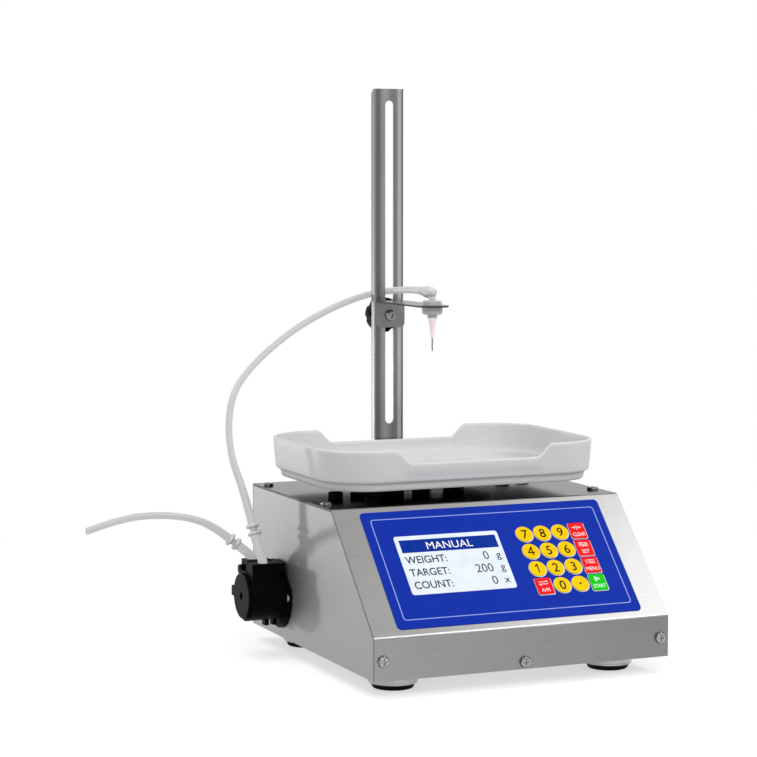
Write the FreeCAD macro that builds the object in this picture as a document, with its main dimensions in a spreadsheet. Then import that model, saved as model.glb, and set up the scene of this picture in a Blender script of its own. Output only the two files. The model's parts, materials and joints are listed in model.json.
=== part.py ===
"""Bench liquid filling machine: steel console, side pump, slotted column with nozzle, weighing pan.

Row frame: origin on the floor under the centre of the case, +X right, +Y rear, +Z up. Millimetres.
"""
import FreeCAD, Part
import math
import os
import re
from FreeCAD import Placement, Rotation, Vector

doc = FreeCAD.newDocument("LiquidFillingMachine")
sheet = doc.addObject("Spreadsheet::Sheet", "Sizes")

DRIVING_SIZES = [
    # case of folded sheet
    ("case_width", 260.0),
    ("case_depth", 267.0),
    ("case_height", 123.0),
    ("strip_height", 34.0),
    ("slope_depth", 87.0),
    ("floor_gap", 14.0),
    ("cover_sheet", 1.5),
    ("panel_sheet", 1.2),
    ("rear_sheet", 1.5),
    ("bend_radius", 3.0),
    ("seam_radius", 1.0),
    ("lip_width", 12.0),
    ("tray_lip", 10.0),
    ("slip_gap", 0.3),
    # pan head screws of the case
    ("screw_head", 4.8),
    ("screw_head_height", 2.2),
    ("screw_shank", 2.0),
    ("screw_length", 6.0),
    ("recess_length", 5.2),
    ("recess_width", 1.1),
    ("recess_depth", 1.3),
    ("screw_inset", 7.6),
    ("strip_screw_rise", 15.8),
    ("middle_screw_rise", 5.8),
    ("deck_screw_front", 29.0),
    ("deck_screw_rear", 16.5),
    # feet
    ("foot_inset_x", 33.5),
    ("foot_inset_y", 40.5),
    ("cup_radius", 20.8),
    ("cup_base_radius", 19.8),
    ("cup_height", 9.5),
    ("pad_top_radius", 18.8),
    ("pad_base_radius", 16.0),
    ("stud_radius", 2.5),
    ("stud_length", 7.0),
    # column behind the case
    ("column_width", 28.0),
    ("column_depth", 8.6),
    ("column_wall", 2.0),
    ("column_foot", 34.0),
    ("column_top", 480.0),
    ("slot_width", 8.0),
    ("slot_rise", 47.0),
    ("slot_margin", 10.3),
    ("column_corner", 6.0),
    ("column_bolt_low", 52.0),
    ("column_bolt_drop", 25.0),
    # carriage: folded arm, clamp bolt and star knob
    ("arm_height", 292.1),
    ("arm_sheet", 1.5),
    ("arm_drop", 22.3),
    ("arm_corner", 4.0),
    ("nozzle_reach", 91.0),
    ("bolt_drop", 11.7),
    ("bolt_radius", 3.0),
    ("bolt_head", 5.0),
    ("bolt_head_height", 3.2),
    ("bolt_play", 0.3),
    ("washer_radius", 8.5),
    ("washer_height", 1.2),
    ("knob_radius", 15.5),
    ("knob_height", 12.0),
    ("knob_hub", 8.0),
    ("lobe_count", 7),
    ("scallop_radius", 4.2),
    ("scallop_reach", 18.0),
    ("run_gap", 0.05),
    # nozzle
    ("holder_radius", 8.75),
    ("holder_height", 6.3),
    ("holder_chamfer", 1.4),
    ("collar_radius", 4.2),
    ("collar_height", 2.9),
    ("stem_radius", 4.8),
    ("stem_rise", 7.0),
    ("cone_base", 2.1),
    ("cone_tip", 1.9),
    ("cone_length", 7.5),
    ("nut_across", 9.0),
    ("nut_height", 3.9),
    ("elbow_leg", 2.9),
    ("elbow_rise", 13.1),
    ("elbow_ball", 4.7),
    ("elbow_barrel", 4.4),
    ("elbow_reach", 12.0),
    ("elbow_taper", 8.0),
    ("hub_length", 16.9),
    ("hub_radius", 3.35),
    ("hub_tip", 1.8),
    ("lug_radius", 4.2),
    ("lug_height", 1.9),
    ("needle_radius", 0.7),
    ("needle_out", 11.3),
    ("needle_in", 6.0),
    # tubes
    ("tube_radius", 3.0),
    ("tube_bore", 2.0),
    ("bore_depth", 12.0),
    ("pump_tube_radius", 4.0),
    ("coupler_flange", 5.7),
    ("coupler_disc", 3.0),
    ("coupler_neck", 2.8),
    ("coupler_gap", 3.6),
    # pump on the left panel
    ("pump_setback", 64.5),
    ("pump_rise", 37.0),
    ("pump_reach", 35.0),
    ("flange_sheet", 2.0),
    ("flange_radius", 29.0),
    ("flange_half_top", 9.0),
    ("flange_rise", 29.5),
    ("flange_crown", 3.0),
    ("pump_screw_x", 25.2),
    ("pump_screw_head", 3.4),
    ("body_radius", 21.5),
    ("cover_radius", 19.5),
    ("cover_height", 3.0),
    ("cover_eye", 3.3),
    ("port_half_width", 18.0),
    ("port_rise", 29.0),
    ("front_port_setback", 0.5),
    ("rear_port_setback", 4.0),
    ("port_back_gap", 7.0),
    ("port_gap", 6.4),
    ("port_gap_depth", 8.0),
    ("ear_radius", 4.0),
    ("ear_proud", 3.4),
    ("ear_y", 14.5),
    ("ear_z", 20.5),
    ("lug_width", 3.6),
    ("lug_depth", 7.0),
    ("lug_drop", 4.6),
    ("lug_first", 8.0),
    ("lug_second", 15.0),
    ("tab_drop", 3.0),
    ("tab_height", 8.6),
    ("track_radius", 16.8),
    ("pump_floor", 5.0),
    ("leg_offset", 12.5),
    ("squeezed_tube", 3.2),
    ("roller_radius", 4.6),
    ("roller_orbit", 8.4),
    ("roller_length", 13.0),
    ("roller_count", 3),
    ("rotor_plate", 2.0),
    ("rotor_radius", 12.0),
    ("rotor_hub", 3.4),
    ("pin_radius", 1.5),
    ("shaft_radius", 2.5),
    ("motor_radius", 18.5),
    ("motor_length", 50.0),
    ("motor_flange", 3.0),
    # weighing gear
    ("pan_setback", 89.0),
    ("pan_half_x", 126.0),
    ("pan_half_y", 87.0),
    ("pan_corner", 45.0),
    ("pan_gap", 10.5),
    ("pan_foot", 7.0),
    ("pan_low_side", 23.0),
    ("pan_side", 34.0),
    ("pan_inset", 6.0),
    ("pan_draft", 2.2),
    ("pan_wall", 3.0),
    ("notch_half", 56.0),
    ("notch_run", 18.0),
    ("carrier_left", -58.0),
    ("carrier_right", 46.0),
    ("carrier_half_y", 25.0),
    ("carrier_sheet", 3.0),
    ("cushion_radius", 6.0),
    ("cushion_height", 3.0),
    ("cell_length", 130.0),
    ("cell_width", 30.0),
    ("cell_height", 22.0),
    ("cell_rise", 24.5),
    ("cell_eye_pitch", 20.0),
    ("cell_eye", 8.0),
    ("cell_slit", 3.0),
    ("cell_block", 26.0),
    ("post_x", -8.0),
    ("post_radius", 12.0),
    ("post_opening", 17.0),
    ("boss_left", -56.0),
    ("boss_right", 24.0),
    ("boss_half_front", 16.5),
    ("boss_half_rear", 21.5),
    ("boss_gap", 0.4),
    ("lock_setback", 24.5),
    ("lock_screw", 7.0),
    ("lock_tab_x", -33.5),
    ("stop_radius", 6.2),
    ("stop_height", 5.0),
    # console on the slope
    ("slope_edge", 3.0),
    ("overlay_width", 216.0),
    ("overlay_low", 6.1),
    ("overlay_high", 119.1),
    ("overlay_sheet", 0.4),
    ("overlay_corner", 4.0),
    ("window_left", -86.0),
    ("window_right", 5.9),
    ("window_low", 36.9),
    ("window_high", 93.7),
    ("window_sheet", 0.3),
    ("window_corner", 2.5),
    ("glass_margin", 4.0),
    ("display_height", 7.0),
    ("board_drop", 9.0),
    ("board_sheet", 1.6),
    ("key_left", 29.4),
    ("key_pitch_x", 16.33),
    ("key_low", 35.9),
    ("key_pitch_y", 17.3),
    ("key_radius", 7.4),
    ("key_proud", 0.6),
    ("key_travel", 0.4),
    ("key_square_x", 14.2),
    ("key_square_y", 15.5),
    ("key_square_corner", 3.0),
    ("plunger_radius", 2.0),
    ("plunger_hole", 2.6),
    # rear fittings
    ("supply_length", 110.0),
    ("supply_width", 60.0),
    ("supply_height", 36.0),
    ("inlet_inset", 52.0),
    ("inlet_rise", 32.0),
    ("inlet_width", 30.0),
    ("inlet_height", 24.0),
    ("inlet_flange", 3.0),
    ("inlet_depth", 16.0),
    ("inlet_wall", 3.0),
    ("rocker_rise", 62.0),
    ("rocker_width", 22.0),
    ("rocker_height", 14.0),
    ("rocker_tilt", 10.0),
    ("pedal_inset", 52.0),
    ("pedal_rise", 32.0),
    ("pedal_radius", 8.0),
    ("pedal_bore", 5.6),
    ("pedal_proud", 9.0),
    ("vent_count", 7),
    ("vent_pitch", 8.0),
    ("vent_width", 3.0),
    ("vent_length", 40.0),
    ("vent_x", 60.0),
    ("vent_low", 68.0),
]

# Places that follow from the sizes above.
DERIVED_SIZES = [
    ("deck_height", "=floor_gap + case_height"),
    ("column_bolt_pitch", "=deck_height - column_bolt_drop - column_bolt_low"),
    ("foot_x", "=case_width / 2 - foot_inset_x"),
    ("foot_y", "=case_depth / 2 - foot_inset_y"),
    ("slot_low", "=floor_gap + case_height + slot_rise"),
    ("slot_high", "=column_top - slot_margin"),
    ("elbow_height", "=arm_height + elbow_rise"),
    ("pump_y", "=case_depth / 2 - pump_setback"),
    ("pump_z", "=floor_gap + pump_rise"),
    ("pan_y", "=case_depth / 2 - pan_setback"),
    ("pan_base", "=floor_gap + case_height + pan_gap"),
    ("pan_step", "=floor_gap + case_height + pan_gap + pan_foot"),
    ("pan_low_rim", "=floor_gap + case_height + pan_gap + pan_low_side"),
    ("pan_rim", "=floor_gap + case_height + pan_gap + pan_side"),
    ("cell_base", "=floor_gap + cover_sheet + cell_rise"),
    ("lock_y", "=case_depth / 2 - pan_setback - lock_setback"),
    ("inlet_x", "=case_width / 2 - inlet_inset"),
    ("inlet_z", "=floor_gap + inlet_rise"),
    ("rocker_z", "=floor_gap + rocker_rise"),
    ("pedal_x", "=pedal_inset - case_width / 2"),
    ("pedal_z", "=floor_gap + pedal_rise"),
]

for row, (name, value) in enumerate(DRIVING_SIZES + DERIVED_SIZES, start=1):
    sheet.set("A%d" % row, name)
    sheet.set("B%d" % row, value if isinstance(value, str) else repr(value))
    sheet.setAlias("B%d" % row, name)
doc.recompute()

NAMES = re.compile(r"\b(%s)\b" % "|".join(name for name, value in DRIVING_SIZES + DERIVED_SIZES))


def size(name):
    return float(sheet.get(name))


def bound(text):
    """An expression on the sheet's cells, from plain names."""
    return NAMES.sub(r"Sizes.\1", str(text))


# Places that many pieces share, as expressions.
FRONT = "(-case_depth / 2)"
REAR = "(case_depth / 2)"
BASE = "floor_gap"
DECK = "(floor_gap + case_height)"
LEFT = "(-case_width / 2)"
KINK = "(floor_gap + strip_height)"
SLOPE_ANGLE = "atan((case_height - strip_height) / slope_depth)"
COLUMN_FACE = "(case_depth / 2 + rear_sheet)"
COLUMN_REAR = "(case_depth / 2 + rear_sheet + column_wall)"
NOZZLE_Y = "(case_depth / 2 + rear_sheet - nozzle_reach)"
BOLT_Z = "(arm_height - bolt_drop)"

front = -size("case_depth") / 2
rear = size("case_depth") / 2
base = size("floor_gap")
deck = size("floor_gap") + size("case_height")
kink = size("floor_gap") + size("strip_height")
slope_angle = math.atan2(size("case_height") - size("strip_height"), size("slope_depth"))
column_face = rear + size("rear_sheet")
nozzle_y = column_face - size("nozzle_reach")
pump_face = -size("case_width") / 2

TURNS = {
    "Z": Rotation(),
    "X": Rotation(Vector(0, 1, 0), 90),
    "Y": Rotation(Vector(1, 0, 0), -90),
    "-Z": Rotation(Vector(1, 0, 0), 180),
    "-X": Rotation(Vector(0, 1, 0), -90),
    "-Y": Rotation(Vector(1, 0, 0), 90),
}


def place(item, at):
    for axis, text in zip("xyz", at):
        item.setExpression("Placement.Base." + axis, bound(text))
    return item


def box(label, corner, span):
    item = doc.addObject("Part::Box", label)
    for prop, text in zip(("Length", "Width", "Height"), span):
        item.setExpression(prop, bound(text))
    return place(item, corner)


def cylinder(label, at, axis, radius, length):
    item = doc.addObject("Part::Cylinder", label)
    item.Placement = Placement(Vector(), TURNS[axis])
    item.setExpression("Radius", bound(radius))
    item.setExpression("Height", bound(length))
    return place(item, at)


def cone(label, at, axis, radius, tip, length):
    item = doc.addObject("Part::Cone", label)
    item.Placement = Placement(Vector(), TURNS[axis])
    item.setExpression("Radius1", bound(radius))
    item.setExpression("Radius2", bound(tip))
    item.setExpression("Height", bound(length))
    return place(item, at)


def ball(label, at, radius):
    item = doc.addObject("Part::Sphere", label)
    item.setExpression("Radius", bound(radius))
    return place(item, at)


def hexagon(label, at, axis, corner_radius, length):
    item = doc.addObject("Part::Prism", label)
    item.Placement = Placement(Vector(), TURNS[axis])
    item.Polygon = 6
    item.setExpression("Circumradius", bound(corner_radius))
    item.setExpression("Height", bound(length))
    return place(item, at)


def fuse(label, pieces):
    item = doc.addObject("Part::MultiFuse", label)
    item.Shapes = pieces
    item.Refine = True
    return item


def group(label, pieces):
    item = doc.addObject("Part::Compound", label)
    item.Links = pieces
    return item


def cut(label, body, tools):
    item = doc.addObject("Part::Cut", label)
    item.Base = body
    item.Tool = tools[0] if len(tools) == 1 else fuse(label + "_tools", tools)
    item.Refine = True
    return item


def rounded(label, body, radius, chosen):
    """Edges of the body that `chosen` picks, rounded to a radius."""
    doc.recompute()
    edges = body.Shape.Edges
    item = doc.addObject("Part::Fillet", label)
    item.Base = body
    item.Edges = [(index, radius, radius) for index, edge in enumerate(edges, start=1) if chosen(edge)]
    return item


def chamfered(label, body, width, chosen):
    doc.recompute()
    edges = body.Shape.Edges
    item = doc.addObject("Part::Chamfer", label)
    item.Base = body
    item.Edges = [(index, width, width) for index, edge in enumerate(edges, start=1) if chosen(edge)]
    return item


def along(edge, direction):
    """Whether an edge is straight and runs along a direction."""
    if len(edge.Vertexes) != 2 or edge.Curve.TypeId != "Part::GeomLine":
        return False
    run = (edge.Vertexes[1].Point - edge.Vertexes[0].Point).normalize()
    return abs(run.dot(direction)) > 0.999


def near(edge, axis, value, slack=0.05):
    box_of = edge.BoundBox
    low = getattr(box_of, axis + "Min")
    high = getattr(box_of, axis + "Max")
    return abs(low - value) < slack and abs(high - value) < slack


ALONG_X = Vector(1, 0, 0)
ALONG_Y = Vector(0, 1, 0)
ALONG_Z = Vector(0, 0, 1)


def profile(label, plane, corners, length, start):
    """A body padded from a closed outline; `corners` and `start` are expressions."""
    body = doc.addObject("PartDesign::Body", label)
    support = [item for item in body.Origin.OriginFeatures if item.Role == plane][0]
    sketch = body.newObject("Sketcher::SketchObject", label + "_outline")
    sketch.AttachmentSupport = [(support, "")]
    sketch.MapMode = "FlatFace"
    count = len(corners)
    spread = [Vector(100 * math.cos(2 * math.pi * i / count), 100 * math.sin(2 * math.pi * i / count), 0)
              for i in range(count)]
    for i in range(count):
        sketch.addGeometry(Part.LineSegment(spread[i], spread[(i + 1) % count]), False)
    import Sketcher
    for i in range(count):
        sketch.addConstraint(Sketcher.Constraint("Coincident", i, 2, (i + 1) % count, 1))
    for i, (across, up) in enumerate(corners):
        for kind, text, first in (("DistanceX", across, spread[i].x), ("DistanceY", up, spread[i].y)):
            index = sketch.addConstraint(Sketcher.Constraint(kind, -1, 1, i, 1, first))
            sketch.setExpression("Constraints[%d]" % index, bound(text))
    pad = body.newObject("PartDesign::Pad", label + "_pad")
    pad.Profile = sketch
    pad.setExpression("Length", bound(length))
    return place(body, start)


def solid(label, shape):
    item = doc.addObject("Part::Feature", label)
    item.Shape = shape
    return item


def on_slope(item):
    """Places a piece that is drawn on the slope's own plane, x across and y up the slope."""
    item.Placement = Placement(Vector(), Rotation(Vector(1, 0, 0), 45))
    place(item, ("0", FRONT, KINK))
    item.setExpression("Placement.Rotation.Angle", bound(SLOPE_ANGLE))
    return item


nodes = {}


def node(item, name):
    item.Label = name
    nodes[name] = item
    return item


# Case

def bent_line(offset, rear_end, low_end):
    """The case's section, front strip to deck, set in from the outside by an offset."""
    turn = "tan((90 deg - %s) / 2)" % SLOPE_ANGLE
    rise = "tan(%s / 2)" % SLOPE_ANGLE
    return [
        ("%s + %s" % (FRONT, offset), low_end),
        ("%s + %s" % (FRONT, offset), "%s - (%s) * %s" % (KINK, offset, turn)),
        ("%s + slope_depth + (%s) * %s" % (FRONT, offset, rise), "%s - (%s)" % (DECK, offset)),
        (rear_end, "%s - (%s)" % (DECK, offset)),
    ]


def screw_places():
    """Where the case's pan head screws sit: place of the head's seat and the way it faces."""
    x = "(case_width / 2 - screw_inset)"
    rise = "floor_gap + strip_screw_rise"
    places = []
    for sign in ("-", ""):
        places.append(((sign + x, FRONT, rise), "-Y"))
        places.append(((sign + x, "%s + slope_depth + deck_screw_front" % FRONT, DECK), "Z"))
        places.append(((sign + x, "%s - deck_screw_rear" % REAR, DECK), "Z"))
        places.append(((sign + x, COLUMN_FACE, "floor_gap + strip_screw_rise + 4"), "Y"))
        places.append(((sign + x, COLUMN_FACE, "%s - deck_screw_rear" % DECK), "Y"))
    places.append((("0", FRONT, "floor_gap + middle_screw_rise"), "-Y"))
    return places


INWARD = {"-Y": "Y", "Y": "-Y", "Z": "-Z"}


def screw_holes(label, radius):
    """Clearance holes for every case screw, long enough to pass sheet and lip."""
    return [cylinder("%s_hole_%d" % (label, i), at, INWARD[facing], radius, "screw_length + 2")
            for i, (at, facing) in enumerate(screw_places())]


def build_console_cover():
    outer = bent_line("0", REAR, BASE)
    inner = bent_line("cover_sheet", REAR, BASE)
    sheet_body = profile("cover_section", "YZ_Plane", outer + inner[::-1], "case_width", (LEFT, "0", "0"))
    doc.recompute()
    bend_line = slope_bends(0)
    folded = rounded("cover_bends", sheet_body, size("bend_radius"),
                     lambda edge: along(edge, ALONG_X) and on_line(edge, bend_line))
    inside = slope_bends(size("cover_sheet"))
    folded = rounded("cover_inner_bends", folded, size("bend_radius") - size("cover_sheet"),
                     lambda edge: along(edge, ALONG_X) and on_line(edge, inside))
    slots = []
    window = box("cover_window_cut",
                 ("window_left + glass_margin", "window_low + glass_margin", "-cover_sheet - 3"),
                 ("window_right - window_left - 2 * glass_margin",
                  "window_high - window_low - 2 * glass_margin", "cover_sheet + 6"))
    slots.append(window)
    for i, (x, y) in enumerate(key_places()):
        slots.append(cylinder("cover_key_cut_%d" % i, (x, y, "-cover_sheet - 3"), "Z",
                              "plunger_hole", "cover_sheet + 6"))
    slope_cuts = on_slope(fuse("cover_slope_cuts", slots))
    post = cylinder("cover_post_cut", ("post_x", "pan_y", "%s - 6" % DECK), "Z", "post_opening", "12")
    cover = cut("cover_cut", folded, [slope_cuts, post] + screw_holes("cover", "screw_shank + run_gap"))
    studs = []
    for i, (x, y) in enumerate(stud_places()):
        studs.append(cylinder("cover_stud_%d" % i, (x, y, "-cover_sheet - board_drop"), "Z", "stud_radius",
                              "board_drop + cover_sheet / 2"))
    return fuse("cover_whole", [cover, on_slope(group("cover_studs", studs))])


def slope_bends(offset):
    """Points of the two bends on the section at an offset, as (y, z)."""
    turn = math.tan((math.pi / 2 - slope_angle) / 2)
    rise = math.tan(slope_angle / 2)
    return [(front + offset, kink - offset * turn),
            (front + size("slope_depth") + offset * rise, deck - offset)]


def on_line(edge, bends):
    point = edge.Vertexes[0].Point
    return any(abs(point.y - y) < 0.05 and abs(point.z - z) < 0.05 for y, z in bends)


def key_places():
    """Key centres on the slope plane, row by row from the top left."""
    return [("key_left + %d * key_pitch_x" % column, "key_low + %d * key_pitch_y" % (3 - row))
            for row in range(4) for column in range(4)]


def stud_places():
    low = "key_low - key_pitch_y / 2"
    high = "key_low + 3.5 * key_pitch_y"
    right = "key_left + 3.65 * key_pitch_x"
    return [("window_left - 6", low), ("window_left - 6", high), (right, low), (right, high)]


def build_side_panel(sign, label):
    """A side panel with lips folded in under the cover."""
    lip_start = "%s + tray_lip + slip_gap" % BASE
    outer_line = bent_line("cover_sheet", REAR, BASE)
    outline = outer_line + [(REAR, BASE)]
    inner_line = bent_line("cover_sheet + panel_sheet", "%s - panel_sheet" % REAR, BASE)
    inner = inner_line + [("%s - panel_sheet" % REAR, BASE)]
    blank = profile(label + "_blank", "YZ_Plane", outline, "lip_width", ("0", "0", "0"))
    hollow = profile(label + "_hollow", "YZ_Plane", inner, "lip_width", ("panel_sheet", "0", "0"))
    foot = box(label + "_foot_cut", ("panel_sheet", "%s - 1" % FRONT, "%s - 1" % BASE),
               ("lip_width", "case_depth + 2", "tray_lip + slip_gap + 1"))
    tray = cut(label + "_tray", blank, [hollow, foot])
    bends = slope_bends(size("cover_sheet"))
    bent = rounded(label + "_bends", tray, size("bend_radius") - size("cover_sheet") + 0.1,
                   lambda edge: along(edge, ALONG_X) and on_line(edge, bends))
    edge_lines = rounded(label + "_seam", bent, size("seam_radius"),
                         lambda edge: near(edge, "X", 0) and above_base(edge))
    holes = screw_holes(label, "screw_shank")
    piece = edge_lines
    if sign < 0:
        place(piece, (LEFT, "0", "0"))
    else:
        piece = doc.addObject("Part::Mirroring", label + "_mirror")
        piece.Source = edge_lines
        piece.Normal = ALONG_X
        place(piece, ("case_width / 2", "0", "0"))
    if sign < 0:
        holes += [cylinder(label + "_shaft_cut", ("%s - 2" % LEFT, "pump_y", "pump_z"), "X", "11", "6")]
        for side in (-1, 1):
            holes.append(cylinder("%s_pump_cut_%d" % (label, side),
                                  ("%s - 2" % LEFT, "pump_y + %d * pump_screw_x" % side, "pump_z"), "X",
                                  "screw_shank + slip_gap", "6"))
    return cut(label + "_whole", piece, holes)


def above_base(edge):
    """Every edge of the panel's face but the one along its foot."""
    return edge.BoundBox.ZMax > base + 0.05


def build_base_tray():
    inner_x = "(case_width / 2 - panel_sheet)"
    block = box("tray_block", ("-" + inner_x, "%s + cover_sheet" % FRONT, BASE),
                ("2 * " + inner_x, "case_depth - cover_sheet", "tray_lip"))
    hollow = box("tray_hollow", ("-%s + panel_sheet" % inner_x, "%s + cover_sheet + panel_sheet" % FRONT,
                                 "%s + cover_sheet" % BASE),
                 ("2 * %s - 2 * panel_sheet" % inner_x, "case_depth - cover_sheet - 2 * panel_sheet", "tray_lip"))
    tools = [hollow]
    for i, (x, y) in enumerate(foot_places()):
        tools.append(cylinder("tray_foot_cut_%d" % i, (x, y, "%s - 1" % BASE), "Z", "stud_radius + run_gap", "6"))
    tools.append(cylinder("tray_screw_cut", ("0", "%s - 1" % FRONT, "floor_gap + middle_screw_rise"), "Y",
                          "screw_shank", "8"))
    for i in range(8):
        tools.append(box("tray_vent_%d" % i, ("-70 + %d * 20" % i, "-20", "%s - 1" % BASE), ("4", "50", "6")))
    return cut("tray_cut", block, tools)


def foot_places():
    return [("%sfoot_x" % a, "%sfoot_y" % b) for a in ("-", "") for b in ("-", "")]


def build_rear_panel():
    plate = box("rear_plate", (LEFT, REAR, BASE), ("case_width", "rear_sheet", "case_height"))
    tools = screw_holes("rear", "screw_shank + run_gap")
    for side in (-1, 1):
        for i in range(int(size("vent_count"))):
            tools.append(box("rear_vent_%d_%d" % (side, i),
                             ("%d * vent_x - vent_length / 2" % side, "%s - 2" % REAR,
                              "vent_low + 20 + %d * vent_pitch / 1.6" % i),
                             ("vent_length", "rear_sheet + 4", "vent_width")))
    for i in range(2):
        tools.append(cylinder("rear_column_cut_%d" % i,
                              ("0", "%s - 2" % REAR, "column_bolt_low + %d * column_bolt_pitch" % i), "Y",
                              "bolt_radius + run_gap", "rear_sheet + 4"))
    tools.append(box("rear_inlet_cut", ("inlet_x - inlet_width / 2", "%s - 2" % REAR,
                                        "inlet_z - inlet_height / 2"),
                     ("inlet_width", "rear_sheet + 4", "inlet_height")))
    tools.append(box("rear_rocker_cut", ("inlet_x - rocker_width / 2 - 1", "%s - 2" % REAR,
                                         "rocker_z - rocker_height / 2 - 1"),
                     ("rocker_width + 2", "rear_sheet + 4", "rocker_height + 2")))
    tools.append(cylinder("rear_pedal_cut", ("pedal_x", "%s - 2" % REAR, "pedal_z"), "Y",
                          "pedal_radius + run_gap", "rear_sheet + 4"))
    return cut("rear_cut", plate, tools)


def pan_head(label, at, facing):
    """A domed screw with a cross recess, drawn upright and turned to face outwards."""
    head = cylinder(label + "_head", ("0", "0", "0"), "Z", "screw_head", "screw_head_height")
    doc.recompute()
    dome = rounded(label + "_dome", head, size("screw_head_height") * 0.6,
                   lambda edge: edge.Curve.TypeId == "Part::GeomCircle" and near(edge, "Z", size("screw_head_height")))
    shank = cylinder(label + "_shank", ("0", "0", "-screw_length"), "Z", "screw_shank", "screw_length")
    arms = [box(label + "_cross_1", ("-recess_length / 2", "-recess_width / 2", "screw_head_height - recess_depth"),
                ("recess_length", "recess_width", "recess_depth + 1")),
            box(label + "_cross_2", ("-recess_width / 2", "-recess_length / 2", "screw_head_height - recess_depth"),
                ("recess_width", "recess_length", "recess_depth + 1"))]
    screw = cut(label, fuse(label + "_blank", [dome, shank]), arms)
    screw.Placement = Placement(Vector(), TURNS[facing])
    return place(screw, at)


def build_case_screws():
    screws = [pan_head("case_screw_%d" % i, at, facing) for i, (at, facing) in enumerate(screw_places())]
    return group("case_screw_set", screws)


def build_feet():
    cups = []
    pads = []
    for i, (x, y) in enumerate(foot_places()):
        cup = cone("cup_disc_%d" % i, (x, y, "floor_gap - cup_height"), "Z", "cup_base_radius", "cup_radius",
                   "cup_height")
        recess = cylinder("cup_recess_%d" % i, (x, y, "floor_gap - cup_height - 1"), "Z",
                          "pad_top_radius", "2")
        stud = cylinder("cup_stud_%d" % i, (x, y, "floor_gap - cup_height / 2"), "Z", "stud_radius",
                        "cup_height / 2 + stud_length")
        cups.append(fuse("cup_%d" % i, [cut("cup_turned_%d" % i, cup, [recess]), stud]))
        pads.append(cone("pad_%d" % i, (x, y, "0"), "Z", "pad_base_radius", "pad_top_radius",
                         "floor_gap - cup_height + 1"))
    return group("foot_cup_set", cups), group("foot_pad_set", pads)


# Column

def build_column():
    half = "(column_width / 2)"
    inner = "(column_width / 2 - column_wall)"
    back = "(%s + column_depth)" % COLUMN_FACE
    outline = [("-" + half, COLUMN_FACE), (half, COLUMN_FACE), (half, back), (inner, back),
               (inner, COLUMN_REAR), ("-" + inner, COLUMN_REAR), ("-" + inner, back), ("-" + half, back)]
    channel = profile("column_section", "XY_Plane", outline, "column_top - column_foot",
                      ("0", "0", "column_foot"))
    doc.recompute()
    bent = rounded("column_bends", channel, 2.4,
                   lambda edge: along(edge, ALONG_Z) and near(edge, "Y", column_face))
    doc.recompute()
    flange_back = column_face + size("column_depth")
    trimmed = rounded("column_corners", bent, size("column_corner"),
                      lambda edge: along(edge, ALONG_X) and near(edge, "Y", flange_back)
                      and near(edge, "Z", size("column_top")))
    slot = [box("slot_middle", ("-slot_width / 2", "%s - 1" % COLUMN_FACE, "slot_low + slot_width / 2"),
                ("slot_width", "column_wall + 2", "slot_high - slot_low - slot_width")),
            cylinder("slot_top", ("0", "%s - 1" % COLUMN_FACE, "slot_high - slot_width / 2"), "Y",
                     "slot_width / 2", "column_wall + 2"),
            cylinder("slot_bottom", ("0", "%s - 1" % COLUMN_FACE, "slot_low + slot_width / 2"), "Y",
                     "slot_width / 2", "column_wall + 2")]
    for i in range(2):
        slot.append(cylinder("column_bolt_cut_%d" % i,
                             ("0", "%s - 1" % COLUMN_FACE, "column_bolt_low + %d * column_bolt_pitch" % i), "Y",
                             "bolt_radius + run_gap", "column_wall + 2"))
    return cut("column_cut", trimmed, slot)


def build_column_bolts():
    pieces = []
    for i in range(2):
        z = "column_bolt_low + %d * column_bolt_pitch" % i
        head = hexagon("column_head_%d" % i, ("0", COLUMN_REAR, z), "Y", "bolt_radius * 1.85", "4")
        shank = cylinder("column_shank_%d" % i, ("0", "%s - 8" % REAR, z), "Y", "bolt_radius",
                         "8 + rear_sheet + column_wall + 1")
        nut_block = hexagon("column_nut_block_%d" % i, ("0", "%s - 5" % REAR, z), "Y", "bolt_radius * 1.85", "5")
        pieces.append(fuse("column_bolt_%d" % i, [head, shank, nut_block]))
    return group("column_bolt_set", pieces)


# Carriage

def build_arm():
    low = "arm_height + arm_sheet - arm_drop - arm_sheet"
    inner = "(%s - arm_sheet)" % COLUMN_FACE
    top = "(arm_height + arm_sheet)"
    outline = [(COLUMN_FACE, low), (COLUMN_FACE, top), (NOZZLE_Y, top), (NOZZLE_Y, "arm_height"),
               (inner, "arm_height"), (inner, low)]
    fold = profile("arm_section", "YZ_Plane", outline, "column_width", ("-column_width / 2", "0", "0"))
    doc.recompute()
    bent = rounded("arm_bend", fold, 2.2,
                   lambda edge: along(edge, ALONG_X) and near(edge, "Y", column_face)
                   and near(edge, "Z", size("arm_height") + size("arm_sheet")))
    doc.recompute()
    foot = size("arm_height") - size("arm_drop")
    cornered = rounded("arm_corners", bent, size("arm_corner"),
                       lambda edge: along(edge, ALONG_Y) and near(edge, "Z", foot))
    nose = cylinder("arm_nose", ("0", NOZZLE_Y, "arm_height"), "Z", "column_width / 2", "arm_sheet")
    holes = [cylinder("arm_stem_cut", ("0", NOZZLE_Y, "arm_height - 1"), "Z", "stem_radius + run_gap",
                      "arm_sheet + 2"),
             cylinder("arm_bolt_cut", ("0", "%s - arm_sheet - 1" % COLUMN_FACE, BOLT_Z), "Y",
                      "bolt_radius + run_gap", "arm_sheet + 2")]
    return cut("arm_cut", fuse("arm_blank", [cornered, nose]), holes)


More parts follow.
